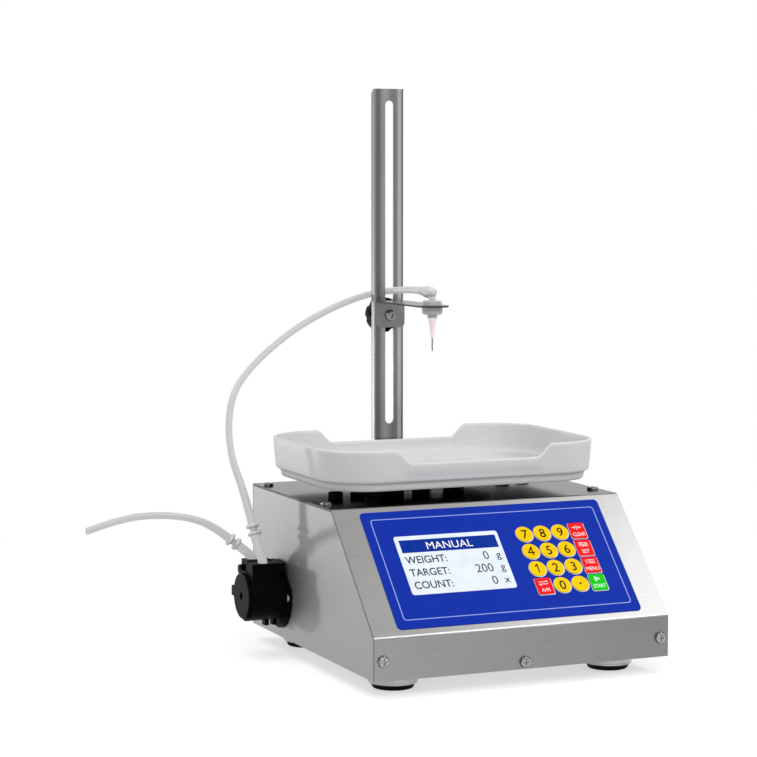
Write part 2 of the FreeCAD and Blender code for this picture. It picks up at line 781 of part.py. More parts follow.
def build_clamp_bolt():
    seat = "(%s - arm_sheet)" % COLUMN_FACE
    head = cylinder("bolt_head", ("0", seat, BOLT_Z), "-Y", "bolt_head", "bolt_head_height")
    doc.recompute()
    top = column_face - size("arm_sheet") - size("bolt_head_height")
    dome = rounded("bolt_dome", head, size("bolt_head_height") * 0.7,
                   lambda edge: edge.Curve.TypeId == "Part::GeomCircle" and abs(edge.Curve.Center.y - top) < 0.01)
    socket = hexagon("bolt_socket", ("0", "%s - bolt_head_height + 1.8" % seat, BOLT_Z), "-Y",
                     "bolt_head * 0.42", "3")
    shank = cylinder("bolt_shank", ("0", seat, BOLT_Z), "Y", "bolt_radius",
                     "arm_sheet + column_wall + washer_height + knob_height + 4")
    return cut("bolt_whole", fuse("bolt_blank", [dome, shank]), [socket])


def build_clamp_washer():
    disc = cylinder("washer_disc", ("0", COLUMN_REAR, BOLT_Z), "Y", "washer_radius", "washer_height")
    hole = cylinder("washer_hole", ("0", "%s - 1" % COLUMN_REAR, BOLT_Z), "Y", "bolt_radius + bolt_play",
                    "washer_height + 2")
    return cut("washer_whole", disc, [hole])


KNOB_SEAT = "(%s + washer_height)" % COLUMN_REAR
KNOB_BACK = "(%s + column_depth + slip_gap)" % COLUMN_FACE


def build_clamp_knob():
    hub = cylinder("knob_hub_post", ("0", KNOB_SEAT, BOLT_Z), "Y", "knob_hub", "column_depth")
    disc = cylinder("knob_disc", ("0", KNOB_BACK, BOLT_Z), "Y", "knob_radius", "knob_height")
    doc.recompute()
    soft = rounded("knob_soft", disc, 2.5, lambda edge: edge.Curve.TypeId == "Part::GeomCircle")
    tools = [cylinder("knob_thread", ("0", "%s - 1" % KNOB_SEAT, BOLT_Z), "Y", "bolt_radius + run_gap",
                      "column_depth + knob_height - 2")]
    for i in range(int(size("lobe_count"))):
        turn = "(360 deg * %d / lobe_count)" % i
        tools.append(cylinder("knob_scallop_%d" % i,
                              ("scallop_reach * sin(%s)" % turn, "%s - 1" % KNOB_BACK,
                               "%s + scallop_reach * cos(%s)" % (BOLT_Z, turn)), "Y",
                              "scallop_radius", "knob_height + 2"))
    return cut("knob_whole", fuse("knob_blank", [hub, soft]), tools)


def build_holder_nut():
    hexa = hexagon("nut_hex", ("0", NOZZLE_Y, "arm_height + arm_sheet"), "Z", "nut_across", "nut_height")
    hole = cylinder("nut_hole", ("0", NOZZLE_Y, "arm_height"), "Z", "stem_radius + run_gap", "nut_height + 4")
    return cut("nut_whole", hexa, [hole])


def build_luer_holder():
    block = cylinder("holder_block", ("0", NOZZLE_Y, "arm_height - holder_height"), "Z", "holder_radius",
                     "holder_height")
    doc.recompute()
    low = size("arm_height") - size("holder_height")
    turned = chamfered("holder_turned", block, size("holder_chamfer"),
                       lambda edge: edge.Curve.TypeId == "Part::GeomCircle" and near(edge, "Z", low))
    stem = cylinder("holder_stem", ("0", NOZZLE_Y, "arm_height - 1"), "Z", "stem_radius", "stem_rise + 1")
    collar = cylinder("holder_collar", ("0", NOZZLE_Y, "arm_height - holder_height - collar_height"), "Z",
                      "collar_radius", "collar_height + 1")
    taper = cone("holder_cone", ("0", NOZZLE_Y, "arm_height - holder_height - collar_height"), "-Z",
                 "cone_base", "cone_tip", "cone_length")
    bore = cylinder("holder_bore", ("0", NOZZLE_Y, "arm_height - holder_height - collar_height - cone_length - 1"),
                    "Z", "1.1", "holder_height + collar_height + cone_length + stem_rise + 3")
    return cut("holder_whole", fuse("holder_blank", [turned, stem, collar, taper]), [bore])


def build_elbow():
    foot = "(arm_height + stem_rise)"
    leg = cylinder("elbow_post", ("0", NOZZLE_Y, foot), "Z", "elbow_leg", "elbow_height - %s" % foot)
    corner = ball("elbow_corner", ("0", NOZZLE_Y, "elbow_height"), "elbow_ball")
    barrel = cylinder("elbow_tube", ("0", NOZZLE_Y, "elbow_height"), "Y", "elbow_barrel", "elbow_reach")
    taper = cone("elbow_cone", ("0", "%s + elbow_reach" % NOZZLE_Y, "elbow_height"), "Y", "elbow_barrel",
                 "tube_radius + 0.4", "elbow_taper")
    return fuse("elbow_whole", [leg, corner, barrel, taper])


HUB_TOP = "(arm_height - holder_height - collar_height)"


def build_needle_hub():
    tip = "(%s - hub_length)" % HUB_TOP
    taper = cone("hub_cone", ("0", NOZZLE_Y, HUB_TOP), "-Z", "hub_radius", "hub_tip", "hub_length")
    lugs = cylinder("hub_lug_disc", ("0", NOZZLE_Y, HUB_TOP), "-Z", "lug_radius", "lug_height")
    flats = [box("hub_flat_%d" % side,
                 ("%s" % ("hub_radius" if side > 0 else "-hub_radius - 4"), "%s - 6" % NOZZLE_Y,
                  "%s - lug_height - 1" % HUB_TOP), ("4", "12", "lug_height + 2")) for side in (-1, 1)]
    lug_bar = cut("hub_lugs", lugs, flats)
    socket = cone("hub_socket", ("0", NOZZLE_Y, "%s + 0.01" % HUB_TOP), "-Z", "cone_base + run_gap",
                  "cone_tip + run_gap", "cone_length + 1")
    bore = cylinder("hub_bore", ("0", NOZZLE_Y, "%s - 1" % tip), "Z", "needle_radius", "needle_in + 1.001")
    return cut("hub_whole", fuse("hub_blank", [taper, lug_bar]), [socket, bore])


def build_needle_tube():
    foot = "%s - hub_length - needle_out" % HUB_TOP
    tube = cylinder("needle_wall", ("0", NOZZLE_Y, foot), "Z", "needle_radius", "needle_out + needle_in")
    bore = cylinder("needle_bore", ("0", NOZZLE_Y, "%s - 1" % foot), "Z", "needle_radius * 0.7",
                    "needle_out + needle_in + 2")
    return cut("needle_whole", tube, [bore])


# Tubes. Each route is a list of corner points; the tube is straight runs joined by tangent arcs.

ARC_SHARE = 0.45


def route_edges(label, points):
    """Straight runs joined by arcs, each arc as large as its two runs allow."""
    edges = []
    last = points[0]
    radii = []
    for before, corner, after in zip(points, points[1:], points[2:]):
        back = (before - corner)
        ahead = (after - corner)
        reach = ARC_SHARE * min(back.Length, ahead.Length)
        back.normalize()
        ahead.normalize()
        half_turn = (math.pi - back.getAngle(ahead)) / 2
        radii.append(reach / math.tan(half_turn))
        start = corner + back * reach
        end = corner + ahead * reach
        middle_way = (back + ahead).normalize()
        centre = corner + middle_way * (radii[-1] / math.cos(half_turn))
        top = centre - middle_way * radii[-1]
        edges.append(Part.LineSegment(last, start).toShape())
        edges.append(Part.Arc(start, top, end).toShape())
        last = end
    edges.append(Part.LineSegment(last, points[-1]).toShape())
    length = sum(edge.Length for edge in edges)
    print("%s: length %.1f, smallest radius %.1f, radii %s"
          % (label, length, min(radii), " ".join("%.0f" % r for r in radii)))
    return edges


def tube_shape(label, points, radius):
    edges = route_edges(label, points)
    wire = Part.Wire(edges)
    ring = Part.Wire([Part.Circle(points[0], points[1] - points[0], radius).toShape()])
    shape = wire.makePipeShell([ring], True, False)
    length = sum(edge.Length for edge in edges)
    expected = math.pi * radius ** 2 * length
    print("%s: volume %.1f, section times length %.1f" % (label, shape.Volume, expected))
    if abs(shape.Volume / expected - 1) > 0.01:
        raise RuntimeError("%s has the wrong volume" % label)
    return shape


pump_x = pump_face - size("pump_reach") + 15.0
front_leg = Vector(pump_x, size("pump_y") - size("leg_offset"), size("pump_z") + size("port_rise"))
rear_leg = Vector(pump_x, size("pump_y") + size("leg_offset"), size("pump_z") + size("port_rise"))
elbow_end = Vector(0, nozzle_y + size("elbow_reach") + size("elbow_taper"), size("elbow_height"))
slot_pass = Vector(0, column_face, size("elbow_height"))

DELIVERY_COUPLER = front_leg + Vector(-4.3, 7.2, 22.6)
DELIVERY_WAY = Vector(-1.4, 3.6, 10.0).normalize()
SUCTION_COUPLER = rear_leg + Vector(-12.6, 1.9, 12.0)
SUCTION_WAY = Vector(-7.8, 1.2, 6.4).normalize()
COUPLER_LENGTH = 2 * size("coupler_disc") + size("coupler_gap")
delivery_start = DELIVERY_COUPLER + DELIVERY_WAY * COUPLER_LENGTH
suction_start = SUCTION_COUPLER + SUCTION_WAY * COUPLER_LENGTH


def delivery_points():
    """From the elbow back through the slot, round behind the column and down to the pump's coupler."""
    return [
        elbow_end,
        elbow_end + Vector(0.0, 20, 0.0),
        slot_pass + Vector(0.4, -30, -0.9),
        slot_pass + Vector(0.0, -8, -2.4),
        slot_pass + Vector(-1.6, 11, -4.0),
        slot_pass + Vector(-12.0, 24.5, -7.4),
        slot_pass + Vector(-29.0, 30.0, -13.6),
        slot_pass + Vector(-51.0, 28.0, -22.0),
        slot_pass + Vector(-78.0, 20.5, -33.6),
        slot_pass + Vector(-105.0, 10.0, -48.5),
        slot_pass + Vector(-131.0, -2.5, -65.5),
        delivery_start + Vector(1.0, 47.5, 109.0),
        delivery_start + Vector(-8.5, 35.5, 83.0),
        delivery_start + Vector(-10.0, 24.5, 55.0),
        delivery_start + DELIVERY_WAY * 28.0,
        delivery_start,
    ]


def suction_points():
    """From the pump's other coupler out to the left, to the open end of the pick-up tube."""
    return [
        suction_start,
        suction_start + SUCTION_WAY * 18.0,
        suction_start + Vector(-36.0, -1.4, 20.2),
        suction_start + Vector(-64.0, -3.2, 24.2),
        suction_start + Vector(-96.0, -5.4, 23.2),
        suction_start + Vector(-127.0, -7.8, 14.4),
    ]


def build_suction_tube():
    points = suction_points()
    shape = tube_shape("suction_tube", points, size("tube_radius"))
    way = (points[-2] - points[-1]).normalize()
    bore = Part.makeCylinder(size("tube_bore"), size("bore_depth"), points[-1], way)
    print("suction tube end %s, way out %s" % (points[-1], -way))
    return solid("suction_whole", shape.cut(bore))


def coupler(start, way):
    disc = size("coupler_disc")
    gap = size("coupler_gap")
    low = Part.makeCylinder(size("coupler_flange"), disc, start, way)
    neck = Part.makeCylinder(size("coupler_neck"), gap + 2, start + way * (disc - 1), way)
    high = Part.makeCylinder(size("coupler_flange"), disc, start + way * (disc + gap), way)
    return low.fuse([neck, high]).removeSplitter()


def leg_shapes(radius):
    """The pump tube's two legs, up out of the ports to their couplers."""
    join = size("pump_z") + size("leg_offset") - 2.0
    front_points = [Vector(front_leg.x, front_leg.y, join), front_leg + Vector(0, 0, 2.0),
                    DELIVERY_COUPLER - DELIVERY_WAY * 11.0, DELIVERY_COUPLER]
    rear_points = [Vector(rear_leg.x, rear_leg.y, join), rear_leg + Vector(0, 0, 0.5),
                   SUCTION_COUPLER - SUCTION_WAY * 10.0, SUCTION_COUPLER]
    return [tube_shape("front leg", front_points, radius), tube_shape("rear leg", rear_points, radius)]


def build_pump_tube():
    """Two round legs and the loop that the rollers press flat against the track."""
    radius = size("pump_tube_radius")
    legs = leg_shapes(radius)
    outer = size("track_radius") - size("slip_gap")
    inner = outer - size("squeezed_tube")
    width = 2 * radius * 1.3
    centre = Vector(pump_x - width / 2, size("pump_y"), size("pump_z"))
    ring = Part.makeCylinder(outer, width, centre, ALONG_X)
    ring = ring.cut(Part.makeCylinder(inner, width, centre, ALONG_X))
    keep_top = size("pump_z") + size("leg_offset") - 1.0
    mouth = Part.makeBox(width + 2, 6 * size("leg_offset"), 2 * outer,
                         Vector(pump_x - width / 2 - 1, size("pump_y") - 3 * size("leg_offset"), keep_top))
    band = ring.cut(mouth)
    return solid("pump_tube_whole", band.fuse(legs))


# Pump

def build_pump_housing():
    """Flange, round body and tube ports in one moulding, hollow for the rotor."""
    y = size("pump_y")
    z = size("pump_z")
    thick = size("flange_sheet")
    back = pump_face
    front_x = pump_face - size("pump_reach") + size("cover_height")
    disc = Part.makeCylinder(size("flange_radius"), thick, Vector(back, y, z), -ALONG_X)
    half_top = size("flange_half_top")
    wide = size("flange_radius") - 0.4
    rise = size("flange_rise")
    crown = rise + size("flange_crown")
    corners = [(-wide, 3.0), (-half_top, rise), (-half_top / 2, crown), (half_top / 2, crown), (half_top, rise),
               (wide, 3.0), (wide * 0.7, -8.0), (-wide * 0.7, -8.0)]
    rim = Part.makePolygon([Vector(back, y + a, z + b) for a, b in corners + corners[:1]])
    yoke = Part.Face(rim).extrude(Vector(-thick, 0, 0))
    round_body = Part.makeCylinder(size("body_radius"), back - front_x, Vector(back, y, z), -ALONG_X)
    half = size("port_half_width")
    half_gap = size("port_gap") / 2
    port_back = back - size("port_back_gap")
    front_face = front_x + size("front_port_setback")
    rear_face = front_x + size("rear_port_setback")
    front_port = Part.makeBox(port_back - front_face, half + half_gap, size("port_rise"),
                              Vector(front_face, y - half, z))
    rear_port = Part.makeBox(port_back - rear_face, half + half_gap, size("port_rise"),
                             Vector(rear_face, y - half_gap, z))
    gap = Part.makeBox(port_back - front_face + 2, 2 * half_gap, size("port_gap_depth") + 1,
                       Vector(front_face - 1, y - half_gap, z + size("port_rise") - size("port_gap_depth")))
    ear = Part.makeCylinder(size("ear_radius"), size("ear_proud") + 1,
                            Vector(rear_face + 1, y + size("ear_y"), z + size("ear_z")), -ALONG_X)
    shape = disc.fuse([yoke, round_body, front_port, rear_port]).cut(gap).fuse(ear).removeSplitter()
    cavity = Part.makeCylinder(size("track_radius"), back - front_x - thick - size("pump_floor") + 1,
                               Vector(front_x - 1, y, z), ALONG_X)
    shape = shape.cut(cavity)
    for side in (-1, 1):
        leg = Vector(pump_x, y + side * size("leg_offset"), z)
        channel = size("pump_tube_radius") + size("slip_gap")
        shape = shape.cut(Part.makeCylinder(channel, 2 * size("port_rise"), leg, ALONG_Z))
        ear = Vector(back + 1, y + side * size("pump_screw_x"), z)
        shape = shape.cut(Part.makeCylinder(size("screw_shank") + size("run_gap"), size("pump_reach"), ear, -ALONG_X))
    shape = shape.cut(leg_shapes(size("pump_tube_radius") + size("slip_gap")))
    shaft = Part.makeCylinder(size("shaft_radius") + size("run_gap"), size("pump_reach"), Vector(back + 1, y, z),
                              -ALONG_X)
    shape = shape.cut(shaft)
    tabs = []
    lug = size("lug_width")
    deep = size("lug_depth")
    for start in ("lug_first", "lug_second"):
        low = Vector(back - size(start), y - deep / 2, z - size("body_radius") - size("lug_drop"))
        tabs.append(Part.makeBox(lug, deep, size("lug_drop") + 1.4, low))
    return solid("pump_housing_whole", shape.fuse(tabs).removeSplitter())


COVER_BACK = "(%s - pump_reach + cover_height)" % LEFT


def build_pump_cover():
    disc = cylinder("cover_disc", (COVER_BACK, "pump_y", "pump_z"), "-X", "cover_radius", "cover_height")
    doc.recompute()
    face = pump_face - size("pump_reach")
    soft = rounded("cover_soft", disc, 1.2,
                   lambda edge: edge.Curve.TypeId == "Part::GeomCircle" and near(edge, "X", face))
    tab = box("cover_tab", ("%s - cover_height + 0.4" % COVER_BACK, "pump_y + cover_radius - 2",
                            "pump_z - tab_drop"),
              ("cover_height - 0.6", "7.5", "tab_height"))
    eye = cylinder("cover_eye_cut", ("%s + 1" % COVER_BACK, "pump_y", "pump_z"), "-X", "cover_eye",
                   "cover_height + 2")
    return cut("pump_cover_whole", fuse("pump_cover_blank", [soft, tab]), [eye])


roller_back = pump_x + size("roller_length") / 2
ROLLER_BACK = "(%s - pump_reach + 15 + roller_length / 2)" % LEFT


def roller_place(index):
    """Centre of a roller round the rotor, as expressions for y and z."""
    turn = "(90 deg + 360 deg * %d / roller_count)" % index
    return ("pump_y + roller_orbit * cos(%s)" % turn, "pump_z + roller_orbit * sin(%s)" % turn)


def build_rotor():
    """Two plates, hub, roller pins and drive shaft."""
    front_end = "(%s - roller_length - 0.6)" % ROLLER_BACK
    back_plate = cylinder("rotor_back", ("%s + 0.3" % ROLLER_BACK, "pump_y", "pump_z"), "X", "rotor_radius",
                          "rotor_plate")
    front_plate = cylinder("rotor_front", ("%s + 0.3" % front_end, "pump_y", "pump_z"), "-X", "rotor_radius",
                           "rotor_plate")
    hub = cylinder("rotor_core", ("%s + 0.6" % ROLLER_BACK, "pump_y", "pump_z"), "-X", "rotor_hub",
                   "roller_length + 1.2")
    shaft = cylinder("rotor_shaft", ("%s + 22" % LEFT, "pump_y", "pump_z"), "-X", "shaft_radius",
                     "22 + pump_reach - 2.6")
    pins = [cylinder("rotor_pin_%d" % i, ("%s + 0.6" % ROLLER_BACK,) + roller_place(i), "-X", "pin_radius",
                     "roller_length + 1.2") for i in range(int(size("roller_count")))]
    return fuse("rotor_whole", [back_plate, front_plate, hub, shaft] + pins)


def build_roller(index):
    y, z = roller_place(index)
    sleeve = cylinder("roller_sleeve_%d" % index, (ROLLER_BACK, y, z), "-X", "roller_radius", "roller_length")
    bore = cylinder("roller_bore_%d" % index, ("%s + 1" % ROLLER_BACK, y, z), "-X", "pin_radius + run_gap",
                    "roller_length + 2")
    return cut("roller_whole_%d" % index, sleeve, [bore])


def build_pump_motor():
    """Gear motor behind the left panel: square front flange, can and rear boss."""
    face = "(%s + panel_sheet)" % LEFT
    flange = box("motor_plate", (face, "pump_y - pump_screw_x - 5", "pump_z - 16"),
                 ("motor_flange", "2 * pump_screw_x + 10", "32"))
    can = cylinder("motor_can", (face, "pump_y", "pump_z"), "X", "motor_radius", "motor_length")
    boss = cylinder("motor_boss", ("%s + motor_length" % face, "pump_y", "pump_z"), "X", "6", "4")
    tools = [cylinder("motor_bore", ("%s - 1" % face, "pump_y", "pump_z"), "X", "shaft_radius + run_gap", "26")]
    for side in (-1, 1):
        tools.append(cylinder("motor_screw_cut_%d" % side,
                              ("%s - 1" % face, "pump_y + %d * pump_screw_x" % side, "pump_z"), "X",
                              "screw_shank", "motor_flange + 2"))
    return cut("motor_whole", fuse("motor_blank", [flange, can, boss]), tools)


def build_pump_screws():
    screws = []
    for side in (-1, 1):
        at = ("%s - flange_sheet" % LEFT, "pump_y + %d * pump_screw_x" % side, "pump_z")
        head = cylinder("pump_screw_head_%d" % side, at, "-X", "pump_screw_head", "screw_head_height")
        doc.recompute()
        top = pump_face - size("flange_sheet") - size("screw_head_height")
        dome = rounded("pump_screw_dome_%d" % side, head, size("screw_head_height") * 0.6,
                       lambda edge: edge.Curve.TypeId == "Part::GeomCircle" and near(edge, "X", top))
        shank = cylinder("pump_screw_shank_%d" % side, at, "X", "screw_shank",
                         "flange_sheet + panel_sheet + motor_flange")
        screws.append(fuse("pump_screw_%d" % side, [dome, shank]))
    return group("pump_screw_set", screws)


# Weighing gear

CELL_LEFT = "(post_x - cell_block / 2)"
CELL_TOP = "(cell_base + cell_height)"
CARRIER_LOW = "(pan_base - cushion_height - carrier_sheet)"


def build_load_cell():
    """Aluminium beam with the double hole that lets it bend."""
    beam = box("cell_beam", (CELL_LEFT, "pan_y - cell_width / 2", "cell_base"),
               ("cell_length", "cell_width", "cell_height"))
    centre = "%s + cell_length / 2" % CELL_LEFT
    middle = "cell_base + cell_height / 2"
    tools = []
    for side in (-1, 1):
        tools.append(cylinder("cell_eye_%d" % side,
                              ("%s + %d * cell_eye_pitch / 2" % (centre, side), "pan_y - cell_width", middle), "Y",
                              "cell_eye", "2 * cell_width"))
    tools.append(box("cell_slot", (centre + " - cell_eye_pitch / 2", "pan_y - cell_width", middle + " - cell_slit / 2"),
                     ("cell_eye_pitch", "2 * cell_width", "cell_slit")))
    return cut("cell_whole", beam, tools)


def build_load_cell_blocks():
    """Foot block under the fixed end, post on the free end, and the transport lock on the deck."""
    foot = box("cell_foot", ("%s + cell_length - cell_block" % CELL_LEFT, "pan_y - cell_block / 2",
                             "%s + cover_sheet" % BASE),
               ("cell_block", "cell_block", "cell_base - %s - cover_sheet" % BASE))
    post = cylinder("cell_post", ("post_x", "pan_y", CELL_TOP), "Z", "post_radius",
                    "%s - boss_gap - %s" % (CARRIER_LOW, CELL_TOP))
    screw = cylinder("lock_screw_low", ("post_x", "lock_y", DECK), "Z", "lock_screw", "1.7")
    waist = cylinder("lock_screw_waist", ("post_x", "lock_y", DECK), "Z", "lock_screw - 0.9", "4")
    high = cylinder("lock_screw_high", ("post_x", "lock_y", "%s + 2.3" % DECK), "Z", "lock_screw", "1.7")
    tab = box("lock_tab_plate", ("lock_tab_x - 3.5", "lock_y - 0.8", DECK), ("7", "1.6", "4.2"))
    toe = box("lock_tab_toe", ("lock_tab_x - 3.5", "lock_y - 0.8", DECK), ("7", "6", "0.8"))
    eye = cylinder("lock_tab_eye", ("lock_tab_x", "lock_y - 2", "%s + 2.3" % DECK), "Y", "0.8", "4")
    lock = cut("lock_tab_whole", fuse("lock_tab_bent", [tab, toe]), [eye])
    return group("cell_block_set", [foot, post, fuse("lock_screw_whole", [screw, waist, high]), lock])


def build_pan_carrier():
    """Black moulded plate with a deep boss that sits on the load cell's post."""
    plate = box("carrier_plate", ("carrier_left", "pan_y - carrier_half_y", CARRIER_LOW),
                ("carrier_right - carrier_left", "2 * carrier_half_y", "carrier_sheet"))
    doc.recompute()
    slab = rounded("carrier_slab", plate, 5.0, lambda edge: along(edge, ALONG_Z))
    boss = box("carrier_boss", ("boss_left", "pan_y - boss_half_front", "%s + boss_gap" % DECK),
               ("boss_right - boss_left", "boss_half_rear + boss_half_front", "%s - %s - boss_gap" % (CARRIER_LOW, DECK)))
    doc.recompute()
    soft = rounded("carrier_boss_soft", boss, 3.0, lambda edge: along(edge, ALONG_Z))
    seat = cylinder("carrier_seat", ("post_x", "pan_y", "%s - 1" % DECK), "Z", "post_radius + run_gap",
                    "%s - boss_gap - %s + 1" % (CARRIER_LOW, DECK))
    return cut("carrier_whole", fuse("carrier_blank", [slab, soft]), [seat])


def cushion_places():
    y = "(carrier_half_y - 9)"
    return [(x, "pan_y %s %s" % (b, y)) for x in ("carrier_left + 10", "carrier_right - 10") for b in ("-", "+")]


def build_pan_cushions():
    discs = [cylinder("cushion_%d" % i, (x, y, "pan_base - cushion_height"), "Z", "cushion_radius",
                      "cushion_height") for i, (x, y) in enumerate(cushion_places())]
    return group("cushion_set", discs)


def build_overload_stops():
    """Rubber stops on the deck that catch the pan when it is pushed too far down."""
    discs = []
    for i, (x, y) in enumerate((("-100", "pan_y - 27"), ("-79", "pan_y - 24"),
                                ("100", "pan_y + 27"), ("79", "pan_y + 24"))):
        discs.append(cylinder("stop_%d" % i, (x, y, DECK), "Z", "stop_radius", "stop_height"))
    return group("stop_set", discs)


def rounded_outline(half_x, half_y, radius, z):
    """A closed rounded rectangle about the pan's centre."""
    y0 = size("pan_y")
    half = radius * math.sqrt(0.5)
    edges = []
    arcs = []
    for sx, sy in ((1, 1), (-1, 1), (-1, -1), (1, -1)):
        cx = sx * (half_x - radius)
        cy = y0 + sy * (half_y - radius)
        ends = [Vector(cx + sx * radius, cy, z), Vector(cx, cy + sy * radius, z)]
        if sx * sy < 0:
            ends.reverse()
        arcs.append((ends[0], Vector(cx + sx * half, cy + sy * half, z), ends[1]))
    for i, (start, middle, end) in enumerate(arcs):
        edges.append(Part.Arc(start, middle, end).toShape())
        edges.append(Part.LineSegment(end, arcs[(i + 1) % 4][0]).toShape())
    return Part.Wire(edges)


def pan_tier(low, high, inset_low, inset_high):
    wires = []
    for z, inset in ((low, inset_low), (high, inset_high)):
        wires.append(rounded_outline(size("pan_half_x") - inset, size("pan_half_y") - inset,
                                     size("pan_corner") - inset, z))
    return Part.makeLoft(wires, True, True)


def build_weighing_pan():
    """Moulded tray: stepped foot, drafted wall, rim let down in the middle of front and rear."""
    wall = size("pan_wall")
    draft = size("pan_draft")
    inset = size("pan_inset")
    foot = pan_tier(size("pan_base"), size("pan_step"), inset + 1.0, inset)
    body = pan_tier(size("pan_step"), size("pan_rim"), draft, 0.0)
    inner_foot = pan_tier(size("pan_base") + wall, size("pan_step") + wall, inset + wall + 1.0, inset + wall)
    inner_body = pan_tier(size("pan_step") + wall, size("pan_rim") + 1, draft + wall, wall)
    shape = foot.fuse(body).cut(inner_foot.fuse(inner_body))
    notch = size("notch_half")
    run = size("notch_run")
    low = size("pan_low_rim")
    drop = size("pan_rim") - low
    above = 5.0
    spread = run * (1 + above / drop)
    corners = [(-notch, low), (notch, low), (notch + spread, low + drop + above),
               (-notch - spread, low + drop + above)]
    far = size("pan_half_y") + 20
    outline = [Vector(x, size("pan_y") - far, z) for x, z in corners]
    mouth = Part.Face(Part.makePolygon(outline + outline[:1])).extrude(Vector(0, 2 * far, 0))
    shape = shape.cut(mouth).removeSplitter()
    return solid("pan_whole", shape)


# Console on the slope, drawn on the slope's own plane

def slope_slab(label, x_span, y_span, low, thick, corner):
    plate = box(label + "_plate", (x_span[0], y_span[0], low),
                ("(%s) - (%s)" % (x_span[1], x_span[0]), "(%s) - (%s)" % (y_span[1], y_span[0]), thick))
    doc.recompute()
    return rounded(label + "_slab", plate, corner, lambda edge: along(edge, ALONG_Z))


def build_overlay():
    slab = slope_slab("overlay", ("-overlay_width / 2", "overlay_width / 2"), ("overlay_low", "overlay_high"),
                      "0", "overlay_sheet", size("overlay_corner"))
    tools = [box("overlay_window_cut",
                 ("window_left + glass_margin", "window_low + glass_margin", "-1"),
                 ("window_right - window_left - 2 * glass_margin",
                  "window_high - window_low - 2 * glass_margin", "3"))]
    for i, (x, y) in enumerate(key_places()):
        tools.append(cylinder("overlay_key_cut_%d" % i, (x, y, "-1"), "Z", "plunger_hole", "3"))
    return on_slope(cut("overlay_whole", slab, tools))


def build_window():
    slab = slope_slab("window", ("window_left", "window_right"), ("window_low", "window_high"),
                      "overlay_sheet", "window_sheet", size("window_corner"))
    return on_slope(group("window_whole", [slab]))


def build_display():
    """Liquid crystal module: frame and glass, behind the window."""
    top = "(-cover_sheet - slip_gap)"
    frame = box("display_frame", ("window_left + glass_margin - 3", "window_low + glass_margin - 3",
                                  "%s - display_height" % top),
                ("window_right - window_left - 2 * glass_margin + 6",
                 "window_high - window_low - 2 * glass_margin + 6", "display_height"))
    glass = box("display_glass", ("window_left + glass_margin + 0.5", "window_low + glass_margin + 0.5",
                                  "%s - 1" % top),
                ("window_right - window_left - 2 * glass_margin - 1",
                 "window_high - window_low - 2 * glass_margin - 1", "cover_sheet + overlay_sheet + 1"))
    return on_slope(fuse("display_whole", [frame, glass]))


def build_console_board():
    """Main circuit board on the cover's studs, with a switch under every key."""
    top = "(-cover_sheet - board_drop)"
    low = "key_low - key_pitch_y / 2 - 5"
    plate = box("board_plate", ("window_left - 11", low, "%s - board_sheet" % top),
                ("key_left + 3.65 * key_pitch_x + 5 - window_left + 11", "4 * key_pitch_y + 10", "board_sheet"))
    parts = [plate]
    for i, (x, y) in enumerate(key_places()):
        parts.append(box("board_switch_%d" % i, (x + " - 3", y + " - 3", "%s - 0.5" % top),
                         ("6", "6", "board_drop - 3.4 + 0.5")))
    for i in range(4):
        parts.append(box("board_chip_%d" % i, ("window_left + 4 + %d * 20" % i, "key_low + 6",
                                               "%s - board_sheet - 3" % top), ("12", "14", "3.5")))
    return on_slope(fuse("board_whole", parts))


KEY_NAMES = ["key_7", "key_8", "key_9", "key_red_top", "key_4", "key_5", "key_6", "key_red_upper",
             "key_1", "key_2", "key_3", "key_red_lower", "key_red_left", "key_0", "key_point", "key_green"]
SQUARE_KEYS = [name for name in KEY_NAMES if "red" in name or "green" in name]


def build_key(index):
    """A key cap on the overlay with the plunger that reaches down to its switch."""
    x, y = key_places()[index]
    name = KEY_NAMES[index]
    seat = "(overlay_sheet + key_travel + 0.05)"
    if name in SQUARE_KEYS:
        plate = box(name + "_plate", (x + " - key_square_x / 2", y + " - key_square_y / 2", seat),
                    ("key_square_x", "key_square_y", "key_proud"))
        doc.recompute()
        cap = rounded(name + "_cap", plate, size("key_square_corner"), lambda edge: along(edge, ALONG_Z))
    else:
        cap = cylinder(name + "_cap", (x, y, seat), "Z", "key_radius", "key_proud")
    switch_top = "(-cover_sheet - 3.4)"
    plunger = cylinder(name + "_plunger", (x, y, "%s + key_travel + 0.1" % switch_top), "Z", "plunger_radius",
                       "%s - %s - key_travel - 0.1 + key_proud / 2" % (seat, switch_top))
    return on_slope(fuse(name + "_whole", [cap, plunger]))


# Supply and rear fittings

def build_power_supply():
    """Open frame supply on the base: chassis plate, board block, coil and capacitor."""
    x = "(case_width / 2 - 44 - supply_width)"
    y = "(-supply_length / 2 - 30)"
    z = "(%s + cover_sheet)" % BASE
    chassis = box("supply_plate", (x, y, z), ("supply_width", "supply_length", "2"))
    left_wall = box("supply_wall", (x, y, z), ("2", "supply_length", "supply_height * 0.6"))
    blocks = box("supply_coil", (x + " + 14", y + " + 40", z + " + 1"), ("30", "28", "supply_height - 1"))
    can = cylinder("supply_can", (x + " + 28", y + " + 20", z + " + 1"), "Z", "11", "supply_height - 8")
    heat = box("supply_sink", (x + " + supply_width - 8", y + " + 10", z + " + 1"),
               ("4", "supply_length - 20", "supply_height * 0.8"))
    return fuse("supply_whole", [chassis, left_wall, blocks, can, heat])


